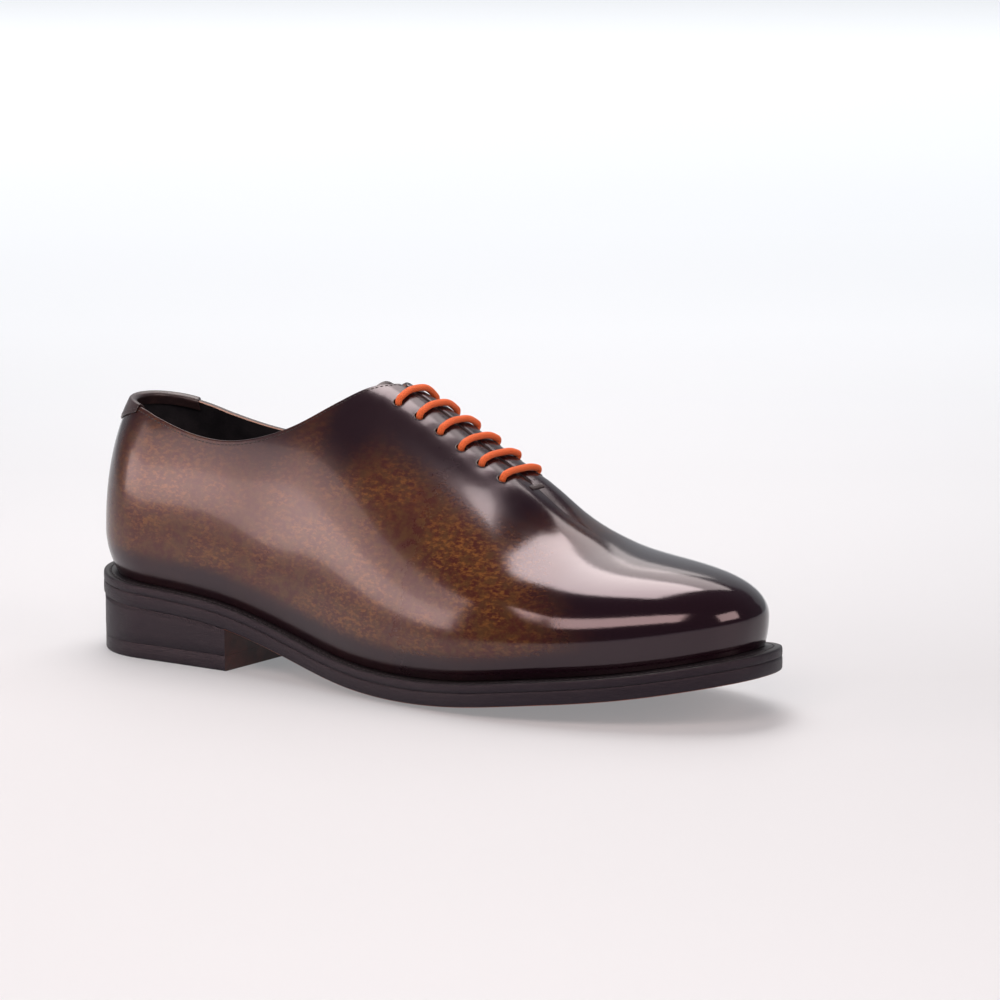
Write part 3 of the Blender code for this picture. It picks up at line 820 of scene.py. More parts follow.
@dataclass(frozen=True)
class PatinaCalf:
    """Hand-burnished calf: gold and olive clouds over red brown, dark at toe, throat and heel. The
    same dark also paints shade on the lower wall above the welt.

    Scales are cycles per metre. A span is the part of a noise that a blend runs over.
    """

    gold: Colour = (0.165, 0.066, 0.016)
    olive: Colour = (0.070, 0.031, 0.010)
    brown: Colour = (0.052, 0.0125, 0.0075)
    # Dark of the patina, also used as painted shade low on the wall.
    burnt: Colour = (0.0085, 0.0026, 0.0052)
    cloud_scale: float = 42.0
    mottle_scale: float = 240.0
    speck_scale: float = 456.0
    speck_shape: tuple[float, float, float] = (0.85, 1, 1.7)
    cloud_span: tuple[float, float] = (0.30, 0.62)
    mottle_span: tuple[float, float] = (0.40, 0.62)
    speck_span: tuple[float, float] = (0.44, 0.66)
    patina_and_shade_span: tuple[float, float] = (0.05, 0.95)
    cloud_unevenness: float = 0.55
    mottle_unevenness: float = 0.30
    rough_dull: float = 0.26
    rough_polished: float = 0.09
    rough_mottle: float = 0.05
    grain_scale: float = 2600.0
    grain_depth: float = 0.000012
    swell_scale: float = 210.0
    swell_depth: float = 0.00003

    def material(self) -> bpy.types.Material:
        """Build the material. The mesh says how dark each point is, by patina and by painted
        shade, and how polished it is.
        """
        shader = Shader("patina_calf")
        place = shader.place()
        cloud = shader.noise(place, self.cloud_scale, 5, 0.6)
        mottle = shader.noise(place, self.mottle_scale, 6, 0.7)
        speck = shader.noise(shader.place(self.speck_shape), self.speck_scale, 4, 0.65)
        tint = shader.mix(shader.fit(mottle, self.mottle_span), self.brown, self.olive)
        golden = shader.math(
            "MULTIPLY", shader.fit(speck, self.speck_span), shader.fit(cloud, self.cloud_span)
        )
        tint = shader.mix(golden, tint, self.gold)
        # How dark each point is, by patina and by painted shade, as the mesh holds it.
        burnt = shader.value("burnt")
        for noise, strength in ((cloud, self.cloud_unevenness), (mottle, self.mottle_unevenness)):
            uneven = shader.math("MULTIPLY", shader.math("SUBTRACT", noise, 0.5), strength)
            burnt = shader.math("ADD", burnt, uneven)
        tint = shader.mix(shader.fit(burnt, self.patina_and_shade_span), tint, self.burnt)
        ends = (self.rough_dull, self.rough_polished)
        polish = shader.fit(shader.value("polish"), (0, 1), ends)
        rough = shader.math("ADD", polish, shader.math("MULTIPLY", mottle, self.rough_mottle))
        normal = shader.pores(place, self.grain_scale, self.grain_depth)
        swell = shader.noise(place, self.swell_scale, 3, 0.5)
        normal = shader.bump(swell, self.swell_depth, normal)
        return shader.finish(
            tint,
            rough,
            normal,
            Coat_Weight=0.25,
            Coat_Roughness=0.10,
            Specular_Tint=(1.0, 0.80, 0.88, 1),
        )


@dataclass(frozen=True)
class PlainLeather:
    """Leather of one colour with fine pores."""

    name: str
    colour: Colour
    shade: Colour
    rough: float
    pore_depth: float = 0.00004
    coat: float = 0.0
    cloud_scale: float = 160.0
    pore_scale: float = 1500.0
    rough_spread: float = 0.12

    def material(self) -> bpy.types.Material:
        """Build the material."""
        shader = Shader(self.name)
        place = shader.place()
        cloud = shader.noise(place, self.cloud_scale, 5, 0.6)
        tint = shader.mix(shader.fit(cloud, (0.35, 0.65)), self.colour, self.shade)
        spread = shader.math("MULTIPLY", cloud, self.rough_spread)
        rough = shader.math("ADD", spread, self.rough - self.rough_spread / 2)
        normal = shader.pores(place, self.pore_scale, self.pore_depth)
        return shader.finish(tint, rough, normal, Coat_Weight=self.coat, Coat_Roughness=0.2)


@dataclass(frozen=True)
class RawEdge:
    """Cut edge of the calf: dyed dark, with a thin bare line along the lining."""

    dyed: Colour = (0.026, 0.015, 0.016)
    bare: Colour = (0.210, 0.080, 0.036)
    line: tuple[float, float] = (0.52, 0.66)

    def material(self) -> bpy.types.Material:
        """Build the material. The mesh says how far each point is across the edge."""
        shader = Shader("raw_edge")
        fibre = shader.noise(shader.place(), 1400.0, 4)
        across = shader.math("ADD", shader.value("rim"), shader.math("MULTIPLY", fibre, 0.12))
        tint = shader.mix(shader.fit(across, self.line), self.dyed, self.bare)
        return shader.finish(tint, 0.5, shader.bump(fibre, 0.00006))


@dataclass(frozen=True)
class DyedEdge:
    """The waxed black edge of welt, sole and heel, with fine lines that follow the layers."""

    name: str = "dyed_edge"
    colour: Colour = (0.0055, 0.0036, 0.0070)
    worn: Colour = (0.012, 0.010, 0.013)
    rough: float = 0.40
    rough_spread: float = 0.22
    line_depth: float = 0.00022
    fine_depth: float = 0.00006

    def material(self) -> bpy.types.Material:
        """Build the material."""
        shader = Shader(self.name)
        lines = shader.noise(shader.place((1, 1, 14)), 190.0, 6, 0.7)
        fine = shader.noise(shader.place((1, 1, 9)), 900.0, 3, 0.6)
        tint = shader.mix(shader.fit(lines, (0.45, 0.75)), self.colour, self.worn)
        spread = shader.math("MULTIPLY", fine, self.rough_spread)
        rough = shader.math("ADD", spread, self.rough - self.rough_spread / 2)
        normal = shader.bump(fine, self.fine_depth, shader.bump(lines, self.line_depth))
        return shader.finish(
            tint, rough, normal, Specular_IOR_Level=0.36, Specular_Tint=(1.0, 0.84, 0.96, 1)
        )


@dataclass(frozen=True)
class WovenCord:
    """Round waxed cotton cord with a soft felted face."""

    colour: Colour = (0.820, 0.160, 0.035)
    shade: Colour = (0.540, 0.082, 0.017)
    strands: float = 9.0
    pitch: float = 0.0016
    relief: float = 0.00012
    sheen_tint: tuple[float, float, float, float] = (1.0, 0.42, 0.22, 1)

    def material(self) -> bpy.types.Material:
        """Build the material. The mesh holds each point's turn round the cord and run along it."""
        shader = Shader("woven_cord")
        turn = shader.math("MULTIPLY", shader.value("turn"), self.strands * math.tau)
        run = shader.math("MULTIPLY", shader.value("run"), math.tau / self.pitch)
        left = shader.math("SINE", shader.math("ADD", turn, run), 0)
        right = shader.math("SINE", shader.math("SUBTRACT", turn, run), 0)
        braid = shader.math("MULTIPLY", shader.math("MAXIMUM", left, right), 0.5)
        braid = shader.math("ADD", braid, 0.5)
        fuzz = shader.noise(shader.place(), 3800.0, 3, 0.7)
        # Painted shade: the braid's grooves take the shade colour, broken up by random fuzz.
        share = shader.math("MULTIPLY", braid, shader.fit(fuzz, (0.3, 0.6)))
        normal = shader.bump(fuzz, self.relief, shader.bump(braid, self.relief))
        return shader.finish(
            shader.mix(share, self.shade, self.colour),
            0.78,
            normal,
            Sheen_Weight=0.12,
            Sheen_Roughness=0.5,
            Sheen_Tint=self.sheen_tint,
        )


@dataclass(frozen=True)
class Thread:
    """Waxed sewing thread."""

    name: str
    colour: Colour
    rough: float = 0.5
    shade: float = 0.45

    def material(self) -> bpy.types.Material:
        """Build the material."""
        shader = Shader(self.name)
        twist = shader.noise(shader.place(), 2600.0, 2, 0.5)
        dark = tuple(self.shade * part for part in self.colour)
        tint = shader.mix(shader.fit(twist, (0.35, 0.65)), dark, self.colour)
        return shader.finish(tint, self.rough, shader.bump(twist, 0.00005))


class Wardrobe:
    """Every finish of the shoe, each made once."""

    def __init__(self) -> None:
        """Make the materials."""
        self.calf = PatinaCalf().material()
        self.lining = PlainLeather(
            "black_lining", (0.010, 0.010, 0.013), (0.018, 0.017, 0.021), 0.55, 0.00007
        ).material()
        self.raw = RawEdge().material()
        self.tab = PlainLeather(
            "heel_tab_calf", (0.040, 0.023, 0.023), (0.022, 0.013, 0.015), 0.36, coat=0.1
        ).material()
        self.tongue = PlainLeather(
            "tongue_calf", (0.034, 0.014, 0.013), (0.018, 0.008, 0.009), 0.36, coat=0.1
        ).material()
        self.edge = DyedEdge().material()
        self.welt = PlainLeather(
            "welt_leather", (0.0055, 0.0045, 0.0065), (0.011, 0.009, 0.012), 0.44, 0.00005
        ).material()
        self.tread = PlainLeather(
            "tread_leather", (0.240, 0.050, 0.018), (0.160, 0.030, 0.012), 0.42
        ).material()
        self.breast = PlainLeather(
            "breast_leather", (0.060, 0.014, 0.010), (0.030, 0.008, 0.008), 0.38
        ).material()
        self.cord = WovenCord().material()
        self.eyelet = PlainLeather(
            "eyelet_edge", (0.050, 0.032, 0.032), (0.030, 0.019, 0.020), 0.26, 0.00001, 0.4
        ).material()
        self.upper_thread = Thread("upper_thread", (0.020, 0.012, 0.012)).material()
        self.welt_thread = Thread("welt_thread", (0.040, 0.037, 0.044), 0.45).material()
        self.tack_thread = Thread("tack_thread", (0.055, 0.045, 0.048), 0.42).material()


# Rows of small things


@dataclass(frozen=True)
class RowSizes:
    """Pitch of a row, and length, width and height of each thing in it."""

    pitch: float
    length: float
    width: float
    height: float


class RowMaker:
    """A node tree that sets a small rounded thing at each step along a path."""

    INPUTS = ("Pitch", "Length", "Width", "Height")

    def __init__(self, segments: int = 8, rings: int = 5) -> None:
        """Build the tree.

        Args:
            segments: Faces round each thing.
            rings: Rings of faces along it.
        """
        self.tree = bpy.data.node_groups.new("stitch_row", "GeometryNodeTree")
        face = self.tree.interface
        face.new_socket("Geometry", in_out="INPUT", socket_type="NodeSocketGeometry")
        for name in self.INPUTS:
            face.new_socket(name, in_out="INPUT", socket_type="NodeSocketFloat")
        face.new_socket("Finish", in_out="INPUT", socket_type="NodeSocketMaterial")
        face.new_socket("Geometry", in_out="OUTPUT", socket_type="NodeSocketGeometry")
        entry = self.add("NodeGroupInput")
        path = self.add("GeometryNodeMeshToCurve")
        even = self.add("GeometryNodeResampleCurve", mode="LENGTH")
        ball = self.add("GeometryNodeMeshUVSphere")
        ball.inputs["Segments"].default_value = segments
        ball.inputs["Rings"].default_value = rings
        ball.inputs["Radius"].default_value = 0.5
        sizes = self.add("ShaderNodeCombineXYZ")
        shape = self.add("GeometryNodeTransform")
        soft = self.add("GeometryNodeSetShadeSmooth")
        tangent = self.add("GeometryNodeInputTangent")
        ahead = self.add("FunctionNodeAlignRotationToVector", axis="X")
        upright = self.add("FunctionNodeAlignRotationToVector", axis="Z", pivot_axis="X")
        up = self.add("GeometryNodeInputNamedAttribute", data_type="FLOAT_VECTOR")
        up.inputs["Name"].default_value = "up"
        each = self.add("GeometryNodeInstanceOnPoints")
        real = self.add("GeometryNodeRealizeInstances")
        finish = self.add("GeometryNodeSetMaterial")
        leave = self.add("NodeGroupOutput")
        for name, axis in zip(self.INPUTS[1:], "XYZ"):
            self.tree.links.new(entry.outputs[name], sizes.inputs[axis])
        for source, target in (
            (entry.outputs["Geometry"], path.inputs["Mesh"]),
            (path.outputs["Curve"], even.inputs["Curve"]),
            (entry.outputs["Pitch"], even.inputs["Length"]),
            (ball.outputs["Mesh"], shape.inputs["Geometry"]),
            (sizes.outputs[0], shape.inputs["Scale"]),
            (shape.outputs[0], soft.inputs["Geometry"]),
            (tangent.outputs[0], ahead.inputs["Vector"]),
            (ahead.outputs[0], upright.inputs["Rotation"]),
            (up.outputs["Attribute"], upright.inputs["Vector"]),
            (even.outputs["Curve"], each.inputs["Points"]),
            (soft.outputs[0], each.inputs["Instance"]),
            (upright.outputs[0], each.inputs["Rotation"]),
            (each.outputs[0], real.inputs[0]),
            (real.outputs[0], finish.inputs["Geometry"]),
            (entry.outputs["Finish"], finish.inputs["Material"]),
            (finish.outputs[0], leave.inputs["Geometry"]),
        ):
            self.tree.links.new(source, target)

    def add(self, kind: str, **settings: object) -> bpy.types.Node:
        """Add a node with these properties."""
        node = self.tree.nodes.new(kind)
        for key, value in settings.items():
            setattr(node, key, value)
        return node

    def row(
        self,
        name: str,
        paths: Paths,
        sizes: RowSizes,
        finish: bpy.types.Material,
    ) -> bpy.types.Object:
        """Lay rows along paths.

        Args:
            name: The piece's name.
            paths: For each, its points and the unit vectors that things stand up along.
            sizes: Sizes of the row.
            finish: Its material.

        Returns:
            The piece, as a plain mesh.
        """
        points = np.concatenate([p for p, _ in paths])
        ups = np.concatenate([u for _, u in paths])
        edges, first = [], 0
        for path, _ in paths:
            edges += [(first + i, first + i + 1) for i in range(len(path) - 1)]
            first += len(path)
        mesh = bpy.data.meshes.new(name)
        mesh.from_pydata(points.tolist(), edges, [])
        attribute = mesh.attributes.new("up", "FLOAT_VECTOR", "POINT")
        attribute.data.foreach_set("vector", ups.astype(np.float32).ravel())
        piece = bpy.data.objects.new(name, mesh)
        bpy.context.scene.collection.objects.link(piece)
        modifier = piece.modifiers.new("Row", "NODES")
        modifier.node_group = self.tree
        given = {name: getattr(sizes, name.lower()) for name in self.INPUTS}
        given["Finish"] = finish
        for item in self.tree.interface.items_tree:
            if item.in_out == "INPUT" and item.name in given:
                modifier[item.identifier] = given[item.name]
        return plain_mesh(piece)


# Sub-assemblies


def slab(
    name: str, outer: Array, inner: Array, finish: bpy.types.Material, bevel: float
) -> bpy.types.Object:
    """A closed sheet between two grids of points, with softened borders.

    Args:
        name: The piece's name.
        outer: Its outer face, as (n, k, 3).
        inner: Its inner face, in the same order.
        finish: Its material.
        bevel: Width of the softened border.

    Returns:
        The piece, as a plain mesh.
    """
    rows, columns = outer.shape[:2]
    count = rows * columns
    faces = grid_faces(rows, columns) + grid_faces(rows, columns, count, True)
    border = list(range(columns))
    border += [i * columns + columns - 1 for i in range(1, rows)]
    border += [(rows - 1) * columns + j for j in range(columns - 2, -1, -1)]
    border += [i * columns for i in range(rows - 2, 0, -1)]
    for a, b in zip(border, border[1:] + border[:1]):
        faces.append((b, a, a + count, b + count))
    points = np.concatenate([outer, inner]).reshape(-1, 3)
    piece = add_piece(name, paint(face_out(build_mesh(name, points, faces)), finish))
    soft = piece.modifiers.new("Soft", "BEVEL")
    soft.width = bevel
    soft.segments = 3
    soft.limit_method = "ANGLE"
    soft.angle_limit = math.radians(50)
    soft.harden_normals = True
    return plain_mesh(piece)


def ribs(sections: Array, end: bool = False) -> list[tuple]:
    """Faces over closed sections that follow each other.

    Args:
        sections: Points, as (n, m, 3), each section a closed ring.
        end: Close the last section by a face.

    Returns:
        The faces.
    """
    rows, around = sections.shape[:2]
    faces = ring_faces(rows, around)
    if end:
        faces.append(tuple(range((rows - 1) * around, rows * around)))
    return faces


@dataclass
class Throat:
    """Where the lace holes are, and how the lace and tongue lie about them."""

    last: Last
    rows: int = 6
    first_share: float = 0.474
    last_share: float = 0.636
    spread: float = 0.0112
    hole_radius: float = 0.0022
    lace_radius: float = 0.00135
    lace_clearance: float = 0.0006
    lace_arch: float = 0.0003
    lace_rest: float = 0.0001

    @property
    def under_run(self) -> float:
        """Depth of the lace's middle under the upper's outer face."""
        return self.last.wall + self.lace_clearance + self.lace_radius

    def stations(self) -> Array:
        """Stations of the rows, from the top row down to the vamp."""
        shares = np.linspace(self.first_share, self.last_share, self.rows)
        return np.array([self.last.station_at(share) for share in shares])

    def place(self, side: Side, t: float, beside: float, height: float) -> Array:
        """A point beside the crown and over the outer face.

        Args:
            side: The side of the shoe.
            t: The station.
            beside: Distance from the crown.
            height: Height over the outer face.

        Returns:
            The point.
        """
        station = np.array([t])
        level = self.last.level_beside(side, station, beside)[:, None]
        return self.last.lifted(side, station, level, height)[0, 0]


@dataclass(frozen=True)
class Patch:
    """A soft patch of the upper's face: a bell along the last, a bell or a step up the side."""

    strength: float
    share: tuple[float, float]
    level: tuple[float, float]
    step: bool = False

    def __call__(self, share: Array, levels: Array) -> Array:
        """Its strength at shares along the last and levels up the side."""
        up = smooth(*self.level, levels) if self.step else bell(levels, *self.level)
        return self.strength * bell(share, *self.share) * up


@dataclass
class Upper:
    """The whole-cut wall: outer calf, raw rim and black lining, with twelve punched holes."""

    last: Last
    throat: Throat
    wardrobe: Wardrobe
    heel_steps: int = 34
    middle_steps: int = 150
    toe_steps: int = 46
    rows: int = 58
    inner_rows: int = 24
    rim: float = 0.0006
    rim_start: float = 2.5
    rim_rows: tuple[float, ...] = (1.6, 1.0, 0.6, 0.3, 0.12, 0.0)
    rim_fall: float = 0.8
    dent_depth: float = 0.00028
    dent_width: float = 0.0038
    flex: Patch = Patch(-0.00022, (0.705, 0.024), (0.35, 0.85), step=True)
    swell: Patch = Patch(0.00020, (0.765, 0.030), (0.40, 0.90), step=True)
    vamp: Patch = Patch(0.0011, (0.715, 0.055), (0.40, 0.17))
    vamp_dip: Patch = Patch(-0.0005, (0.715, 0.055), (0.74, 0.13))
    ankle: Patch = Patch(-0.0007, (0.34, 0.06), (0.35, 0.18))
    dark_instep: Patch = Patch(0.85, (0.43, 0.055), (0.40, 0.85), step=True)
    dark_cloud: Patch = Patch(0.55, (0.31, 0.07), (0.62, 0.22))
    stitch_lift: float = -0.00004
    topline_inset: float = 0.0019
    facing_inset: float = 0.0024

    def relief(self, side: Side, t: Array, levels: Array) -> Array:
        """Soft troughs and ridges of the outer face, in metres along its normal.

        Args:
            side: The side of the shoe.
            t: Stations.
            levels: Levels, as (n, k).

        Returns:
            Heights, as (n, k).
        """
        last = self.last
        points = last.arch(side, t, levels)
        share = last.station(t)[0][:, None]
        height = np.zeros(levels.shape)
        for station in self.throat.stations():
            hole = self.throat.place(side, station, self.throat.spread, 0)
            away = np.linalg.norm(points - hole, axis=-1)
            height -= self.dent_depth * bell(away, 0, self.dent_width)
        for patch in (self.flex, self.swell, self.vamp, self.vamp_dip, self.ankle):
            height += patch(share, levels)
        return height

    def tone(self, side: Side, t: Array, levels: Array, depth: Array) -> dict[str, Array]:
        """How dark each point of the outer face is, by patina and by painted shade low on the
        wall, and how polished it is.

        Args:
            side: The side of the shoe; not used.
            t: Stations.
            levels: Levels, as (n, k).
            depth: Distance of each point from the rim along its rib.

        Returns:
            The numbers by name, each as (n, k).
        """
        share, _ = self.last.station(t)
        share = np.broadcast_to(share[:, None], levels.shape)
        toe = smooth(0.700, 0.900, share + 0.06 * smooth(0.0, 0.9, levels))
        throat = smooth(0.36, 0.45, share) * smooth(0.78, 0.66, share)
        throat = smooth(0.050, 0.012, depth) * throat
        collar = 0.50 * smooth(0.022, 0.001, depth) * smooth(0.50, 0.30, share)
        heel = 0.80 * smooth(0.13, 0.01, share) * smooth(-0.3, 0.5, levels)
        # Painted shade on top of the patina's dark: darker down the lower wall, tucked under the
        # bulge above the welt.
        foot = 0.88 * smooth(0.10, -0.50, levels)
        instep, cloud = self.dark_instep(share, levels), self.dark_cloud(share, levels)
        clean = 1.0
        for dark in (cloud, toe, throat, collar, heel, foot, instep):
            clean = clean * (1 - dark)
        polish = np.maximum(smooth(0.50, 0.80, share), 0.5 * smooth(0.08, 0.0, share))
        return {"burnt": 1 - clean, "polish": polish, "rim": np.zeros(levels.shape)}

    def half(self, side: Side, t: Array) -> tuple[Array, Array, dict[str, Array]]:
        """Points of one side, from the feather line up the outer face and down the inner one.

        Args:
            side: The side of the shoe.
            t: Stations.

        Returns:
            The points of either face, as (n, k, 3), and the numbers of all of them.
        """
        last = self.last
        ends = (np.full(len(t), -1.0), last.top_level(side, t))
        spread = last.spaced_levels(side, t, ends, last.fine_levels)
        runs = last.runs(side, t, spread)
        length = runs[:, -1:]
        even = np.linspace(0, 1, self.rows)[None, :] * (length - self.rim_start * self.rim)
        near = length - self.rim * np.array(self.rim_rows)[None, :]
        wanted = np.concatenate([even, near], 1)
        levels = np.stack([np.interp(*row) for row in zip(wanted, runs, spread)])
        depth = length - wanted
        roll = np.clip(1 - depth / self.rim, 0, 1)
        fall = self.rim * (1 - np.sqrt(np.clip(1 - roll**2, 0, 1)))
        fall = fall * last.is_open(last.station(t)[0])[:, None] * self.rim_fall
        outer = last.lifted(side, t, levels, self.relief(side, t, levels) - fall)
        down = np.linspace(0, 1, self.inner_rows)[None, ::-1] * length
        inner_levels = np.stack([np.interp(*row) for row in zip(down, runs, spread)])
        inner = last.lifted(side, t, inner_levels, -last.wall)
        values = {}
        for key, value in self.tone(side, t, levels, depth).items():
            values[key] = np.concatenate([value, np.repeat(value[:, -1:], self.inner_rows, 1)], 1)
        values["rim"][:, levels.shape[1] :] = 1.0
        return outer, inner, values

    def build(self) -> bpy.types.Object:
        """Build the wall and cut its holes.

        Returns:
            The dressed piece.
        """
        last = self.last
        t = last.stations(self.heel_steps, self.middle_steps, self.toe_steps)
        closed = ~last.is_open(last.station(t)[0])
        halves = {side: self.half(side, t) for side in Side}
        skins = {side: np.concatenate(halves[side][:2], 1) for side in Side}
        rows = halves[Side.LATERAL][0].shape[1]
        lateral, medial = skins[Side.LATERAL], skins[Side.MEDIAL]
        for seam in (np.s_[:1, :], np.s_[-1:, :]):
            lateral[seam] = medial[seam] = (lateral[seam] + medial[seam]) / 2
        for column in (rows - 1, rows):
            middle = (lateral[closed, column] + medial[closed, column]) / 2
            lateral[closed, column] = medial[closed, column] = middle
        points, faces, finishes, values = [], [], [], {"burnt": [], "polish": [], "rim": []}
        around = lateral.shape[1]
        for side in Side:
            first = sum(len(p) for p in points)
            for i in range(len(t) - 1):
                for j in range(around):
                    if j == rows - 1 and closed[i]:
                        continue
                    k = (j + 1) % around
                    a, b = first + i * around, first + (i + 1) * around
                    face = (a + j, b + j, b + k, a + k)
                    faces.append(face if side is Side.LATERAL else face[::-1])
                    outside = j < rows - 2 or (closed[i] and j == rows - 2)
                    finishes.append(0 if outside else 1 if j <= rows - 1 else 2)
            points.append(skins[side].reshape(-1, 3))
            for key in values:
                values[key].append(halves[side][2][key].reshape(-1))
        tones = {key: np.concatenate(parts) for key, parts in values.items()}
        points = np.concatenate(points)
        finishes = np.array(finishes)
        mesh = face_out(build_mesh("whole_cut_upper", points, faces, tones, finishes))
        paint(mesh, self.wardrobe.calf, self.wardrobe.raw, self.wardrobe.lining)
        piece = add_piece("whole_cut_upper", mesh, 60)
        self.punch(piece)
        self.restore(piece.data, points, tones)
        piece.data.shade_smooth()
        piece.data.set_sharp_from_angle(angle=math.radians(50))
        return dress(piece, Slot.CALF, "upper")

    def punch(self, piece: bpy.types.Object) -> None:
        """Cut the lace holes."""
        throat, wall = self.throat, self.last.wall
        holes = bmesh.new()
        for side in Side:
            for station in throat.stations():
                low = Vector(throat.place(side, station, throat.spread, -2.5 * wall))
                high = Vector(throat.place(side, station, throat.spread, 1.5 * wall))
                axis = high - low
                turn = axis.to_track_quat("Z", "Y").to_matrix().to_4x4()
                bmesh.ops.create_cone(
                    holes,
                    cap_ends=True,
                    segments=32,
                    radius1=throat.hole_radius,
                    radius2=throat.hole_radius,
                    depth=axis.length,
                    matrix=Matrix.Translation((low + high) / 2) @ turn,
                )
        mesh = bpy.data.meshes.new("punch")
        holes.to_mesh(mesh)
        holes.free()
        punch = bpy.data.objects.new("punch", paint(mesh, self.wardrobe.tab))
        bpy.context.scene.collection.objects.link(punch)
        cut = piece.modifiers.new("Holes", "BOOLEAN")
        cut.object = punch
        cut.operation = "DIFFERENCE"
        cut.material_mode = "TRANSFER"
        plain_mesh(piece)
        bpy.data.objects.remove(punch)

    def restore(self, mesh: bpy.types.Mesh, points: Array, tones: dict[str, Array]) -> None:
        """Give the punched mesh its numbers again, from the nearest point of the whole one.

        Args:
            mesh: The punched mesh.
            points: Points of the whole mesh.
            tones: Numbers of those points.
        """
        tree = KDTree(len(points))
        for i, point in enumerate(points):
            tree.insert(point, i)
        tree.balance()
        nearest = [tree.find(vertex.co)[1] for vertex in mesh.vertices]
        for key, tone in tones.items():
            attribute = mesh.attributes.get(key) or mesh.attributes.new(key, "FLOAT", "POINT")
            attribute.data.foreach_set("value", tone[nearest].astype(np.float32))

    def inset_row(self, side: Side, t: Array, inset: float, lift: float) -> tuple[Array, Array]:
        """A row of points below the rim, and their normals.

        Args:
            side: The side of the shoe.
            t: Stations.
            inset: Distance from the rim.
            lift: Height over the outer face.

        Returns:
            Points and normals, as (n, 3).
        """
        last = self.last
        level = last.level_below(side, t, last.top_level(side, t), inset)[:, None]
        lift = lift + self.relief(side, t, level)
        return last.lifted(side, t, level, lift)[:, 0], last.face_normal(side, t, level)[:, 0]

    def build_stitches(self, rows: RowMaker) -> None:
        """Sew the topline and the facings.

        Args:
            rows: Maker of the rows.
        """
        last = self.last
        paths = []
        back = np.linspace(0.55, last.station_at(0.455), 170)
        down = np.linspace(last.station_at(0.478), last.station_at(0.652), 90)
        for side in Side:
            paths.append(self.inset_row(side, back, self.topline_inset, self.stitch_lift))
            paths.append(self.inset_row(side, down, self.facing_inset, self.stitch_lift))
        sizes = RowSizes(pitch=0.0019, length=0.00155, width=0.00050, height=0.00036)
        piece = rows.row("upper_stitches", paths, sizes, self.wardrobe.upper_thread)
        dress(piece, Slot.DARK_CALF)

    def build_rims(
        self, around: int = 32, across: int = 8, thick: float = 0.00022, sink: float = 0.00024
    ) -> None:
        """Lay a thin pressed rim round each lace hole.

        Args:
            around: Steps round a hole.
            across: Steps round the rim's own section.
            thick: Radius of the section.
            sink: Depth of its middle under the outer face.
        """
        throat = self.throat
        a = np.linspace(0, math.tau, around, endpoint=False)[:, None, None]
        b = np.linspace(0, math.tau, across, endpoint=False)[None, :, None]
        points, faces = [], []
        for side in Side:
            for station in throat.stations():
                middle = throat.place(side, station, throat.spread, -sink)
                up = unit(throat.place(side, station, throat.spread, 0.001) - middle)
                right = unit(np.cross(up, (0, 0, 1)))
                spoke = np.cos(a) * right + np.sin(a) * np.cross(up, right)
                ring = middle + spoke * (throat.hole_radius + thick * np.cos(b))
                ring = ring + up * thick * np.sin(b)
                first = sum(len(p) for p in points)
                faces += ring_faces(around + 1, across, first)
                points.append(np.concatenate([ring, ring[:1]]).reshape(-1, 3))
        mesh = face_out(build_mesh("eyelet_rims", np.concatenate(points), faces))
        piece = add_piece("eyelet_rims", paint(mesh, self.wardrobe.eyelet), 80)
        dress(piece, Slot.DARK_CALF)

    def build_tack(self, rows: RowMaker) -> None:
        """Sew the bar tack that closes the throat.

        Args:
            rows: Maker of the rows.
        """
        last, throat = self.last, self.throat
        t = last.station_at(last.throat_end + 0.004)
        lift, beside = 0.0001, (0.0036, 0.0024, 0.0012)
        path = [throat.place(Side.LATERAL, t, d, lift) for d in beside]
        path += [throat.place(Side.MEDIAL, t, d, lift) for d in (0.00001, *beside[::-1])]
        up = last.face_normal(Side.LATERAL, np.array([t]), np.array([[0.99]]))[0]
        paths = [(np.array(path), np.tile(up, (len(path), 1)))]
        sizes = RowSizes(pitch=0.00055, length=0.00062, width=0.0026, height=0.0009)
        piece = rows.row("bar_tack", paths, sizes, self.wardrobe.tack_thread)
        dress(piece, Slot.DARK_CALF)


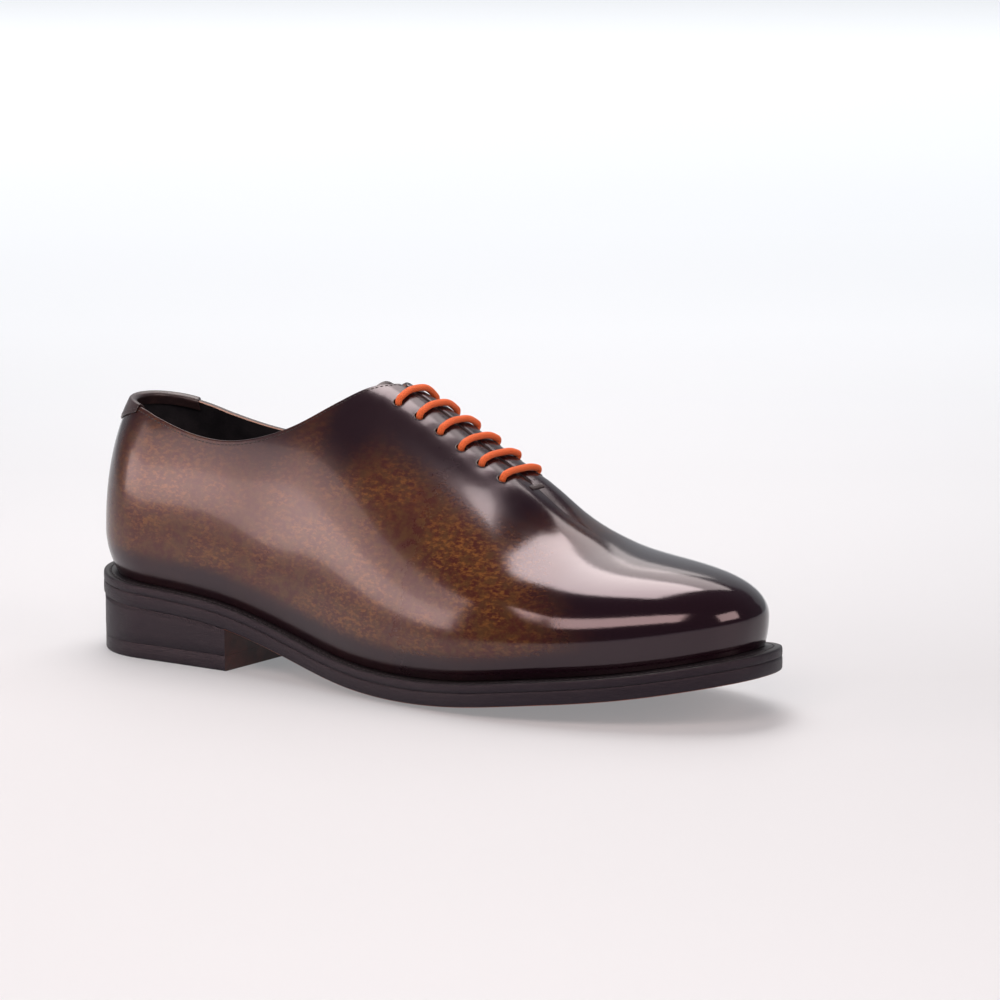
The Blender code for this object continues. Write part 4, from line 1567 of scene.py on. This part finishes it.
@dataclass
class Tongue:
    """The arched strip under the facings, with its stitched tip above them."""

    last: Last
    throat: Throat
    wardrobe: Wardrobe
    top_share: float = 0.428
    foot_share: float = 0.710
    half_width: float = 0.0200
    tip_width: float = 0.72
    tip_round: float = 0.030
    ease: float = 0.015
    thickness: float = 0.0018
    bevel: float = 0.0005
    length_steps: int = 70
    side_steps: int = 18
    stitched_steps: int = 24
    stitch_inset: float = 0.0018
    stitch_lift: float = 0.00002

    def depth(self, share: Array) -> Array:
        """How far its face lies under the upper's outer one."""
        last, throat = self.last, self.throat
        flush = last.wall + 2 * last.clearance
        room = 2 * (throat.lace_radius + throat.lace_clearance - last.clearance)
        top_run = throat.first_share - self.top_share - self.ease
        foot_run = self.foot_share - throat.last_share - self.ease
        rise = np.clip((share - self.top_share) / top_run, 0, 1)
        fall = np.clip((self.foot_share - share) / foot_run, 0, 1)
        return flush + room * smooth(0, 1, rise * fall)

    def grid(self, lift: float, inset: float = 0.0) -> Array:
        """Points from the lateral edge over the crown to the medial edge.

        Args:
            lift: Height over the tongue's face.
            inset: Distance in from its edges.

        Returns:
            The points, as (n, k, 3).
        """
        last = self.last
        start = last.station_at(self.top_share + inset / last.length)
        t = np.linspace(start, last.station_at(self.foot_share), self.length_steps)
        share, _ = last.station(t)
        corner = np.clip((share - self.top_share) / self.tip_round, 0, 1)
        part = self.tip_width + (1 - self.tip_width) * np.sqrt(1 - (1 - corner) ** 2)
        half = self.half_width * part - inset
        grids = []
        for side in Side:
            edge = last.level_beside(side, t, half)
            levels = last.spaced_levels(side, t, (edge, np.ones(len(t))), self.side_steps)
            grids.append(last.lifted(side, t, levels, (lift - self.depth(share))[:, None]))
        middle = (grids[0][:, -1:] + grids[1][:, -1:]) / 2
        return np.concatenate([grids[0][:, :-1], middle, grids[1][:, -2::-1]], 1)

    def round_tip(self, grid: Array) -> Array:
        """The border of a grid of points or normals that the stitches follow round the tip."""
        steps = self.stitched_steps
        return np.concatenate([grid[steps:0:-1, 0], grid[0], grid[1 : steps + 1, -1]])

    def build(self, rows: RowMaker) -> None:
        """Build the tongue and the row round its tip.

        Args:
            rows: Maker of the rows.
        """
        outer, inner = self.grid(0.0), self.grid(-self.thickness)
        piece = slab("tongue_leather", outer, inner, self.wardrobe.tongue, self.bevel)
        dress(piece, Slot.DARK_CALF, "tongue")
        rim = self.grid(self.stitch_lift, self.stitch_inset)
        ups = unit(np.cross(np.gradient(rim, axis=1), np.gradient(rim, axis=0)))
        ups *= np.sign(ups[..., 2:])
        paths = [(self.round_tip(rim), self.round_tip(ups))]
        sizes = RowSizes(pitch=0.0019, length=0.0015, width=0.0005, height=0.00036)
        piece = rows.row("tongue_stitches", paths, sizes, self.wardrobe.upper_thread)
        dress(piece, Slot.DARK_CALF)


@dataclass
class HeelTab:
    """The patch at the back that folds over the topline and tapers to a point below."""

    last: Last
    wardrobe: Wardrobe
    end_share: float = 0.066
    depth: float = 0.0125
    corner: float = 0.0030
    curve: float = 1.3
    thickness: float = 0.0007
    gap: float = 0.0001
    inside: float = 0.0040
    fold_rise: float = 0.0002
    bevel: float = 0.0003
    stitch_inset: float = 0.0015
    stitch_sink: float = 0.00004
    stitch_end: float = 0.95

    def drop(self, part: Array) -> Array:
        """How far down its edge lies, at this part of the way from the back to the end."""
        return self.corner + (self.depth - self.corner) * (1 - part**self.curve)

    def section(self, side: Side, t: Array, lift: float) -> Array:
        """One skin of the folded patch, from its lower edge over the rim to its inner edge.

        Args:
            side: The side of the shoe.
            t: Stations.
            lift: Height of the skin over the wall that it wraps.

        Returns:
            The points, as (n, k, 3).
        """
        last = self.last
        top = last.top_level(side, t)
        drop = self.drop(t / t[-1])
        outside = []
        for place in np.linspace(1, 0, 14):
            level = last.level_below(side, t, top, drop * place)[:, None]
            outside.append(last.lifted(side, t, level, lift)[:, 0])
        crest = last.arch(side, t, top[:, None])[:, 0]
        normal = last.face_normal(side, t, top[:, None])[:, 0]
        low = last.level_below(side, t, top, 0.0015)[:, None]
        up = unit(crest - last.arch(side, t, low)[:, 0])
        fold = []
        half = last.wall / 2
        for angle in np.radians((30, 60, 90, 120, 150)):
            out = (half + lift) * math.cos(angle) - half
            fold.append(crest + normal * out + up * (lift + self.fold_rise) * math.sin(angle))
        inward = []
        for place in np.linspace(0, 1, 6):
            level = last.level_below(side, t, top, self.inside * place)[:, None]
            inward.append(last.lifted(side, t, level, -last.wall - lift)[:, 0])
        return np.stack(outside + fold + inward, 1)

    def skin(self, lift: float) -> Array:
        """Both sides of a skin as one grid, from the lateral end round the back to the medial."""
        t = np.linspace(0, self.last.station_at(self.end_share), 36)
        lateral, medial = (self.section(side, t, lift) for side in Side)
        middle = (lateral[:1] + medial[:1]) / 2
        return np.concatenate([lateral[:0:-1], middle, medial[1:]])

    def build(self, rows: RowMaker) -> None:
        """Build the patch and the row of stitches along its edge.

        Args:
            rows: Maker of the rows.
        """
        outer, inner = self.skin(self.gap + self.thickness), self.skin(self.gap)
        piece = slab("heel_tab_leather", outer, inner, self.wardrobe.tab, self.bevel)
        dress(piece, Slot.DARK_CALF, "heel_tab")
        last = self.last
        t = np.linspace(0, last.station_at(self.end_share) * self.stitch_end, 40)
        drop = self.drop(t / t[-1] * self.stitch_end) - self.stitch_inset
        lift = self.gap + self.thickness - self.stitch_sink
        sides = []
        for side in Side:
            level = last.level_below(side, t, last.top_level(side, t), drop)[:, None]
            points = last.lifted(side, t, level, lift)
            sides.append((points[:, 0], last.face_normal(side, t, level)[:, 0]))
        paths = [tuple(round_heel(*pair) for pair in zip(*sides))]
        sizes = RowSizes(pitch=0.0018, length=0.0014, width=0.00045, height=0.00034)
        piece = rows.row("heel_tab_stitches", paths, sizes, self.wardrobe.tack_thread)
        dress(piece, Slot.DARK_CALF)


@dataclass
class Lace:
    """One round cord through all the holes, with straight bars outside."""

    last: Last
    throat: Throat
    wardrobe: Wardrobe
    segments: int = 22
    step: float = 0.00045
    bow: float = 0.0034
    curve_steps: int = 12
    hidden_start: float = 0.004
    hidden_end: float = 0.03
    taper: tuple[float, ...] = (0.4, 0.8, 0.95)
    order: tuple[int, ...] = (0, 2, 4, 5, 3, 1)

    def over(self, row: float, start: Side) -> list[Array]:
        """A bar from one side over the facings to the other, with its two upright ends.

        Args:
            row: Station of the row.
            start: Side that it starts from.

        Returns:
            Points along it.
        """
        throat = self.throat
        turn = throat.lace_radius + throat.lace_rest
        steps = [(0.0, -throat.under_run * 0.72), (0.0, -self.last.wall * 0.6), (0.0, -0.0002)]
        steps += [(turn * (1 - math.cos(a)), turn * math.sin(a)) for a in np.radians((30, 62, 90))]
        for part in (0.55, 0.25):
            height = turn + throat.lace_arch * (1 - part * part)
            steps.append((throat.spread * (1 - part), height))
        near = [throat.place(start, row, throat.spread - i, h) for i, h in steps]
        far = [throat.place(start.other, row, throat.spread - i, h) for i, h in steps]
        return near + far[::-1]

    def under(self, side: Side, start: float, end: float, passes: bool) -> list[Array]:
        """A run under one facing between two rows, beside the row that it passes."""
        throat = self.throat
        points = []
        for share in (0.22, 0.5, 0.78):
            beside = throat.spread + (self.bow * math.sin(math.pi * share) if passes else 0.0)
            place = start + (end - start) * share
            points.append(throat.place(side, place, beside, -throat.under_run))
        return points

    def route(self) -> Array:
        """The cord's points, from one hidden end to the other."""
        throat, rows, side = self.throat, self.throat.stations(), Side.MEDIAL
        hidden = rows[self.order[0]] - self.hidden_start
        points = [throat.place(side, hidden, throat.spread, -throat.under_run)]
        for row, after in zip(self.order, self.order[1:]):
            points += self.over(rows[row], side)
            side = side.other
            points += self.under(side, rows[row], rows[after], abs(after - row) > 1)
        final = rows[self.order[-1]]
        points += self.over(final, side)
        points += self.under(side.other, final, final - self.hidden_end, False)
        return np.array(points)

    def line(self) -> Array:
        """The route, smoothed and stepped evenly."""
        points = self.route()
        before, after = 2 * points[:1] - points[1:2], 2 * points[-1:] - points[-2:-1]
        padded = np.concatenate([before, points, after])
        f = np.linspace(0, 1, self.curve_steps, endpoint=False)[:, None]
        fine = []
        for a, b, c, d in zip(padded, padded[1:], padded[2:], padded[3:]):
            bend = (2 * a - 5 * b + 4 * c - d) * f**2 + (3 * b - a - 3 * c + d) * f**3
            fine.append((2 * b + (c - a) * f + bend) / 2)
        fine = np.concatenate(fine)
        run = run_along(fine)
        even = np.linspace(0, run[-1], int(run[-1] / self.step))
        return np.stack([np.interp(even, run, fine[:, k]) for k in range(3)], 1)

    def build(self) -> None:
        """Build the cord."""
        line = self.line()
        run = run_along(line)
        tangents = unit(np.gradient(line, axis=0))
        side = np.cross(tangents[0], (0, 0, 1))
        sides = []
        for ahead in tangents:
            side = unit(side - ahead * side.dot(ahead))
            sides.append(side)
        ups = np.cross(tangents, sides)
        turn = np.linspace(0, 1, self.segments + 1)
        spin = (turn * math.tau)[None, :, None]
        ring = np.cos(spin) * np.array(sides)[:, None] + np.sin(spin) * ups[:, None]
        radius = np.full(len(line), self.throat.lace_radius)
        radius[: len(self.taper)] *= self.taper
        radius[-len(self.taper) :] *= self.taper[::-1]
        points = line[:, None] + ring * radius[:, None, None]
        count = len(turn)
        faces = grid_faces(len(line), count, 0, True)
        faces.append(tuple(range(count - 1)))
        last = (len(line) - 1) * count
        faces.append(tuple(range(last + count - 2, last - 1, -1)))
        mesh = bpy.data.meshes.new("lace_cord")
        mesh.from_pydata(points.reshape(-1, 3).tolist(), [], faces)
        for key, value in (("turn", np.tile(turn, len(line))), ("run", np.repeat(run, count))):
            attribute = mesh.attributes.new(key, "FLOAT", "POINT")
            attribute.data.foreach_set("value", value.astype(np.float32))
        dress(add_piece("lace_cord", paint(mesh, self.wardrobe.cord), 80), Slot.CORD, "lace")
        log.info("lace: %.0f mm in all", run[-1] * 1000)


@dataclass
class Sole:
    """Welt, outsole, heel and sock, from the same outline."""

    last: Last
    wardrobe: Wardrobe
    bevel: float = 0.0008
    groove: float = 0.00055
    groove_depth: float = 0.00035
    heel_length: float = 0.0775
    heel_inset: float = 0.0006
    top_piece_thickness: float = 0.0062
    insole_thickness: float = 0.0026
    tread_start: float = 0.30
    tread_full: float = 0.50
    tread_columns: int = 31
    sock_columns: int = 25
    sock_dish: float = 0.0011

    def stations(self) -> Array:
        """Stations of the sole's pieces."""
        return self.last.stations(48, 150, 60)

    def edge_row(self, side: Side, t: Array, inset: Array, height: Array) -> Array:
        """Points this far in from the sole's edge and this high, as (n, 3)."""
        plan = self.last.welt_edge(side, t, inset)
        return np.column_stack([plan, np.broadcast_to(height, t.shape)])

    def build_welt(self, rows: RowMaker) -> None:
        """Build the welt, with its stitches lying in a groove.

        Args:
            rows: Maker of the rows.
        """
        last = self.last
        t = self.stations()
        thickness = last.welt_thickness
        edge = (
            (0.00015, 0.0),
            (0.0, 0.00015),
            (-0.00006, thickness * 0.35),
            (0.0, thickness - self.bevel),
            (self.bevel * 0.25, thickness - self.bevel * 0.3),
            (self.bevel, thickness),
        )
        grooved = ((-1.6, 0), (-0.8, 0.15), (0, 1), (0.8, 0.15), (1.6, 0))
        halves, seams = [], []
        for side in Side:
            reach, top = last.reach(side, t), last.welt_top(t)
            seat, seam = reach + last.welt_seat, reach * 0.5
            loops = [(seat, 0.0), *edge]
            for offset, dip in grooved:
                height = thickness - dip * self.groove_depth
                loops.append((seam + offset * self.groove, height))
            loops.append((seat, thickness))
            base = top - thickness
            halves.append([self.edge_row(side, t, inset, base + h) for inset, h in loops])
            seams.append(self.edge_row(side, t, seam, top - self.groove_depth * 0.45))
        loops = np.stack([np.concatenate([a, b[-2:0:-1]]) for a, b in zip(*halves)])
        count, around = loops.shape[:2]
        final = (count - 1) * around
        faces = ring_faces(count, around)
        for j in range(around):
            k = (j + 1) % around
            faces.append((final + j, final + k, k, j))
        mesh = face_out(build_mesh("welt_strip", loops.reshape(-1, 3), faces))
        finishes = (self.wardrobe.welt, self.wardrobe.edge)
        paint(mesh, *finishes, second=lambda p: abs(p.normal.z) < 0.55)
        dress(add_piece("welt_strip", mesh, 60), Slot.EDGE, "welt")
        path = np.concatenate([seams[0], seams[1][-2::-1]])
        paths = [(path, np.tile((0.0, 0.0, 1.0), (len(path), 1)))]
        sizes = RowSizes(pitch=0.0026, length=0.0023, width=0.00075, height=0.0005)
        dress(rows.row("welt_stitches", paths, sizes, self.wardrobe.welt_thread), Slot.EDGE)

    def outsole_low(self, t: Array, place: Array) -> Array:
        """Height of the outsole's bottom face.

        Args:
            t: Stations.
            place: Places across, from -1 to 1.

        Returns:
            The heights, as (n, k).
        """
        last = self.last
        share, room = last.station(t)
        front = (share - self.tread_start) / (self.tread_full - self.tread_start)
        crowned = (np.clip(front, 0, 1) * room)[:, None]
        bottom = last.outsole_bottom(t)[:, None]
        return np.maximum(bottom - last.tread_crown * crowned * (1 - place**2), 0)

    def build_outsole(self) -> None:
        """Build the outsole with its lined black edge and red-brown bottom."""
        last = self.last
        t = self.stations()
        place = np.linspace(-1, 1, self.tread_columns)[None, :]
        across = (place[..., None] + 1) / 2
        left, right = (last.welt_edge(side, t, 0.0006)[:, None] for side in Side)
        plan = left * (1 - across) + right * across
        bottom = np.concatenate([plan, self.outsole_low(t, place)[..., None]], -1)
        low = last.outsole_bottom(t)
        thickness = last.outsole_top(t) + last.clearance - 0.00003 - low
        edge = (
            (0.00022, 0.05),
            (0.0, 0.13),
            (-0.00010, 0.45),
            (-0.00004, 0.80),
            (0.00010, 0.97),
            (0.0003, 1.0),
        )
        lateral, medial = (
            [self.edge_row(side, t, inset, low + thickness * up) for inset, up in edge]
            for side in Side
        )
        sections = np.stack([*np.moveaxis(bottom, 1, 0), *medial, *lateral[::-1]], 1)
        mesh = face_out(build_mesh("outsole_leather", sections.reshape(-1, 3), ribs(sections)))
        breast = self.heel_length - last.centre[0]
        paint(
            mesh,
            self.wardrobe.edge,
            self.wardrobe.tread,
            second=lambda p: p.normal.z < -0.45 and p.center.x > breast,
        )
        dress(add_piece("outsole_leather", mesh, 55), Slot.EDGE, "outsole")

    def heel_stations(self, side: Side, inset: float) -> Array:
        """Stations of one side of the heel, from its back to the breast."""
        fine = np.linspace(0, 2, 800)
        line = self.last.welt_edge(side, fine, inset)[:, 0] + self.last.centre[0]
        breast = np.interp(self.heel_length, line, fine)
        return np.concatenate([np.linspace(0, 1, 49), np.linspace(1, breast, 29)[1:]])

    def heel_block(
        self,
        name: str,
        heights: Callable[[Array], tuple[Array, Array]],
        rows: Sequence[tuple[float, float]],
        finish: bpy.types.Material,
    ) -> bpy.types.Object:
        """A layer of the heel.

        Args:
            name: The piece's name.
            heights: Gives the layer's lowest and highest points at stations.
            rows: Inset and place, from 0 below to 1 above, of each row of its side.
            finish: Its side's material. The breast has its own.

        Returns:
            The piece.
        """
        halves = []
        for side in Side:
            t = self.heel_stations(side, self.heel_inset)
            low, high = heights(t)
            half = [
                self.edge_row(side, t, self.heel_inset + inset, low + (high - low) * up)
                for inset, up in rows
            ]
            for row in half:
                row[-1, 0] = self.heel_length - self.last.centre[0]
            halves.append(half)
        lateral, medial = halves
        sections = np.stack(lateral[::-1] + medial, 1)
        mesh = face_out(build_mesh(name, sections.reshape(-1, 3), ribs(sections, end=True)))
        paint(mesh, finish, self.wardrobe.breast, second=lambda p: p.normal.x > 0.8)
        return add_piece(name, mesh, 50)

    def build_heel(self, rows: RowMaker) -> None:
        """Build the stack, the top piece and the wheel marks along the stack's upper seam.

        Args:
            rows: Maker of the rows.
        """
        last = self.last
        thickness = self.top_piece_thickness
        stack = self.heel_block(
            "heel_stack_lifts",
            lambda t: (thickness + 0.00006, last.outsole_bottom(t) - 0.00003),
            (
                (0.00018, 0.0),
                (0.0, 0.02),
                (-0.00008, 0.3),
                (-0.00008, 0.7),
                (0.0, 0.98),
                (0.00018, 1.0),
            ),
            self.wardrobe.edge,
        )
        dress(stack, Slot.EDGE, "heel_stack")
        piece = self.heel_block(
            "top_piece_layer",
            lambda t: (0.0, thickness),
            ((0.0006, 0.0), (0.00012, 0.06), (0.0, 0.14), (0.0, 0.95), (0.00018, 1.0)),
            self.wardrobe.edge,
        )
        dress(piece, Slot.RUBBER, "top_piece")
        sides = []
        for side in Side:
            end = self.heel_stations(side, self.heel_inset)[-1]
            t = np.linspace(0, end * 0.995, 160)
            height = last.outsole_bottom(t) - 0.0012
            points = self.edge_row(side, t, self.heel_inset + 0.00006, height)
            sides.append((points, np.column_stack([last.outward(side, t), np.zeros(len(t))])))
        paths = [tuple(round_heel(*pair) for pair in zip(*sides))]
        sizes = RowSizes(pitch=0.00105, length=0.00055, width=0.0019, height=0.00036)
        dress(rows.row("wheel_marks", paths, sizes, self.wardrobe.edge), Slot.EDGE)

    def build_sock(self) -> None:
        """Build the sock that covers the insole inside."""
        last = self.last
        t = self.stations()
        across = np.linspace(0, 1, self.sock_columns)[None, :, None]
        inset = -(last.wall + 2 * last.clearance)
        lateral, medial = (last.feather(side, t, inset)[:, None] for side in Side)
        plan = lateral * (1 - across) + medial * across
        rise = self.sock_dish * (2 * across[..., 0] - 1) ** 2
        top = last.welt_top(t) + last.clearance + self.insole_thickness
        top = top[:, None] - self.sock_dish + rise
        low = np.broadcast_to((last.outsole_top(t) + last.clearance)[:, None], top.shape)
        outer, inner = (np.concatenate([plan, z[..., None]], -1) for z in (top, low))
        piece = slab("sock_leather", outer, inner, self.wardrobe.lining, 0.0003)
        dress(piece, Slot.LINING, "insole")


# Studio


def hang(name: str, data: bpy.types.ID, place: Sequence[float], ahead: Vector) -> bpy.types.Object:
    """Hang a light or the camera.

    Args:
        name: Its name.
        data: The light or camera.
        place: Where it hangs.
        ahead: The way it faces.

    Returns:
        The object.
    """
    holder = bpy.data.objects.new(name, data)
    bpy.context.scene.collection.objects.link(holder)
    holder.location = place
    holder.rotation_mode = "QUATERNION"
    holder.rotation_quaternion = ahead.to_track_quat("-Z", "Y")
    return holder


@dataclass(frozen=True)
class SoftBox:
    """A lamp with a soft face of this width and height. Glow is the face's radiance."""

    name: str
    place: tuple[float, float, float]
    size: tuple[float, float]
    glow: float
    colour: Colour
    aim: tuple[float, float, float] = (0.0, 0.0, 0.05)

    def hang(self) -> None:
        """Hang the lamp, facing its aim."""
        light = bpy.data.lights.new(self.name, "AREA")
        light.shape = "RECTANGLE"
        light.size, light.size_y = self.size
        light.color = self.colour
        light.energy = self.glow * math.pi * self.size[0] * self.size[1]
        hang(self.name, light, self.place, Vector(self.aim) - Vector(self.place))


WARM = (1.0, 0.80, 0.74)
MILD = (1.0, 0.92, 0.89)

LAMPS = (
    SoftBox("overhead", (-0.172, 0.185, 0.80), (0.415, 0.49), 8.6, MILD, (-0.172, 0.175, 0.0)),
    SoftBox("overhead_far", (-0.21, 0.67, 0.80), (0.50, 0.46), 2.8, MILD, (-0.21, 0.66, 0.0)),
    SoftBox("back", (-2.15, 2.0, 2.2), (1.6, 3.2), 1.7, MILD, (-2.15, 1.99, 0.0)),
    SoftBox("left_wall", (-0.447, -0.401, 0.15), (0.40, 0.13), 6.0, WARM, (0.0, 0.0, 0.15)),
    SoftBox("left_wall_top", (-0.432, -0.418, 0.30), (0.38, 0.17), 2.7, WARM, (0.0, 0.0, 0.30)),
    SoftBox("front_strip", (0.33, -0.86, 0.80), (0.85, 0.40), 6.5, WARM),
    SoftBox("toe_window", (1.08, 0.06, 0.50), (0.60, 0.45), 5.2, WARM),
)

# How strongly the floor glows at a distance beyond the shoe, in metres.
GLOWS = {
    -9.0: 0.50,
    -2.0: 0.50,
    -1.0: 0.48,
    -0.5: 0.36,
    0.0: 0.24,
    0.5: 0.38,
    1.0: 0.62,
    1.5: 0.73,
    2.0: 0.79,
    3.0: 0.85,
}


@dataclass
class Studio:
    """Pale floor, soft lights and the camera."""

    azimuth: float = 36.0
    elevation: float = 10.5
    distance: float = 2.0
    lens: float = 184.3
    target: Array = field(default_factory=lambda: np.array([0.150, 0.0, 0.045]))
    across: float = 0.0297
    above: float = 0.0256
    floor_reach: float = 9.0
    floor_columns: int = 9
    sweep_start: float = 5.0
    sweep_radius: float = 2.0
    sweep_top: float = 5.0
    sweep_steps: int = 12
    sweep_glow: float = 0.3

    def build_floor(self) -> None:
        """Build the floor, which turns up into a wall behind the shoe."""
        radius = self.sweep_radius
        profile = [(place, 0.0) for place in GLOWS]
        for a in np.linspace(0, math.pi / 2, self.sweep_steps):
            place = self.sweep_start + radius * math.sin(a)
            profile.append((place, radius - radius * math.cos(a)))
        profile.append((self.sweep_start + radius, self.sweep_top))
        across = np.linspace(-self.floor_reach, self.floor_reach, self.floor_columns)
        turn = math.radians(self.azimuth)
        ahead = np.array([-math.sin(turn), math.cos(turn)])
        right = np.array([math.cos(turn), math.sin(turn)])
        points = np.array([(*(ahead * d + right * w), z) for d, z in profile for w in across])
        glow = [*GLOWS.values()] + [self.sweep_glow] * (len(profile) - len(GLOWS))
        values = {"glow": np.repeat(glow, len(across))}
        faces = grid_faces(len(profile), len(across), 0, True)
        mesh = build_mesh("floor", points, faces, values)
        shader = Shader("pale_floor")
        place = shader.place()
        cloud = shader.noise(place, 2.0, 4)
        tint = shader.mix(cloud, (0.400, 0.415, 0.430), (0.430, 0.445, 0.460))
        shader.plug(shader.value("glow"), shader.surface.inputs["Emission Strength"])
        shader.surface.inputs["Emission Color"].default_value = (0.93, 0.97, 1.0, 1)
        normal = shader.bump(shader.noise(place, 900.0, 3), 0.00003)
        add_piece("floor", paint(mesh, shader.finish(tint, 0.62, normal)))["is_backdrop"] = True

    def build_lights(self) -> None:
        """Hang the lamps and tint the room."""
        for lamp in LAMPS:
            lamp.hang()
        world = bpy.data.worlds.new("room")
        world.use_nodes = True
        background = world.node_tree.nodes["Background"]
        background.inputs["Color"].default_value = (0.80, 0.70, 0.84, 1)
        background.inputs["Strength"].default_value = 0.15
        bpy.context.scene.world = world

    def build_camera(self, last: Last) -> None:
        """Set up the camera.

        Args:
            last: The shoe's last, whose frame the target is given in.
        """
        turn, tilt = math.radians(self.azimuth), math.radians(self.elevation)
        back = np.array([math.sin(turn), -math.cos(turn), 0.0]) * math.cos(tilt)
        back[2] = math.sin(tilt)
        right = np.array([math.cos(turn), math.sin(turn), 0.0])
        up = np.cross(back, right)
        target = self.target - np.array([*last.centre, 0.0])
        place = target + back * self.distance
        aim = target + right * self.across + up * self.above
        camera = bpy.data.cameras.new("camera")
        camera.lens = self.lens
        camera.sensor_width = 36.0
        camera.clip_start, camera.clip_end = 0.05, 60.0
        bpy.context.scene.camera = hang("camera", camera, place, Vector(aim - place))

    def build(self, last: Last) -> None:
        """Build floor, lights and camera round the shoe."""
        self.build_floor()
        self.build_lights()
        self.build_camera(last)
        bpy.context.scene.view_settings.view_transform = "Standard"


def corners() -> list[list[float]]:
    """Lowest and highest corner of what shows, as plain numbers."""
    return [[float(x) for x in corner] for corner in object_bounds()]


def main() -> None:
    """Build the shoe and its studio."""
    logging.basicConfig(level=logging.INFO, format="%(message)s")
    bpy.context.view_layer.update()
    last = Last()
    throat = Throat(last)
    wardrobe = Wardrobe()
    rows = RowMaker()
    Studio().build(last)
    upper = Upper(last, throat, wardrobe)
    upper.build()
    upper.build_rims()
    upper.build_stitches(rows)
    upper.build_tack(rows)
    Tongue(last, throat, wardrobe).build(rows)
    HeelTab(last, wardrobe).build(rows)
    Lace(last, throat, wardrobe).build()
    sole = Sole(last, wardrobe)
    sole.build_welt(rows)
    sole.build_outsole()
    sole.build_heel(rows)
    sole.build_sock()


if __name__ == "__main__":
    main()
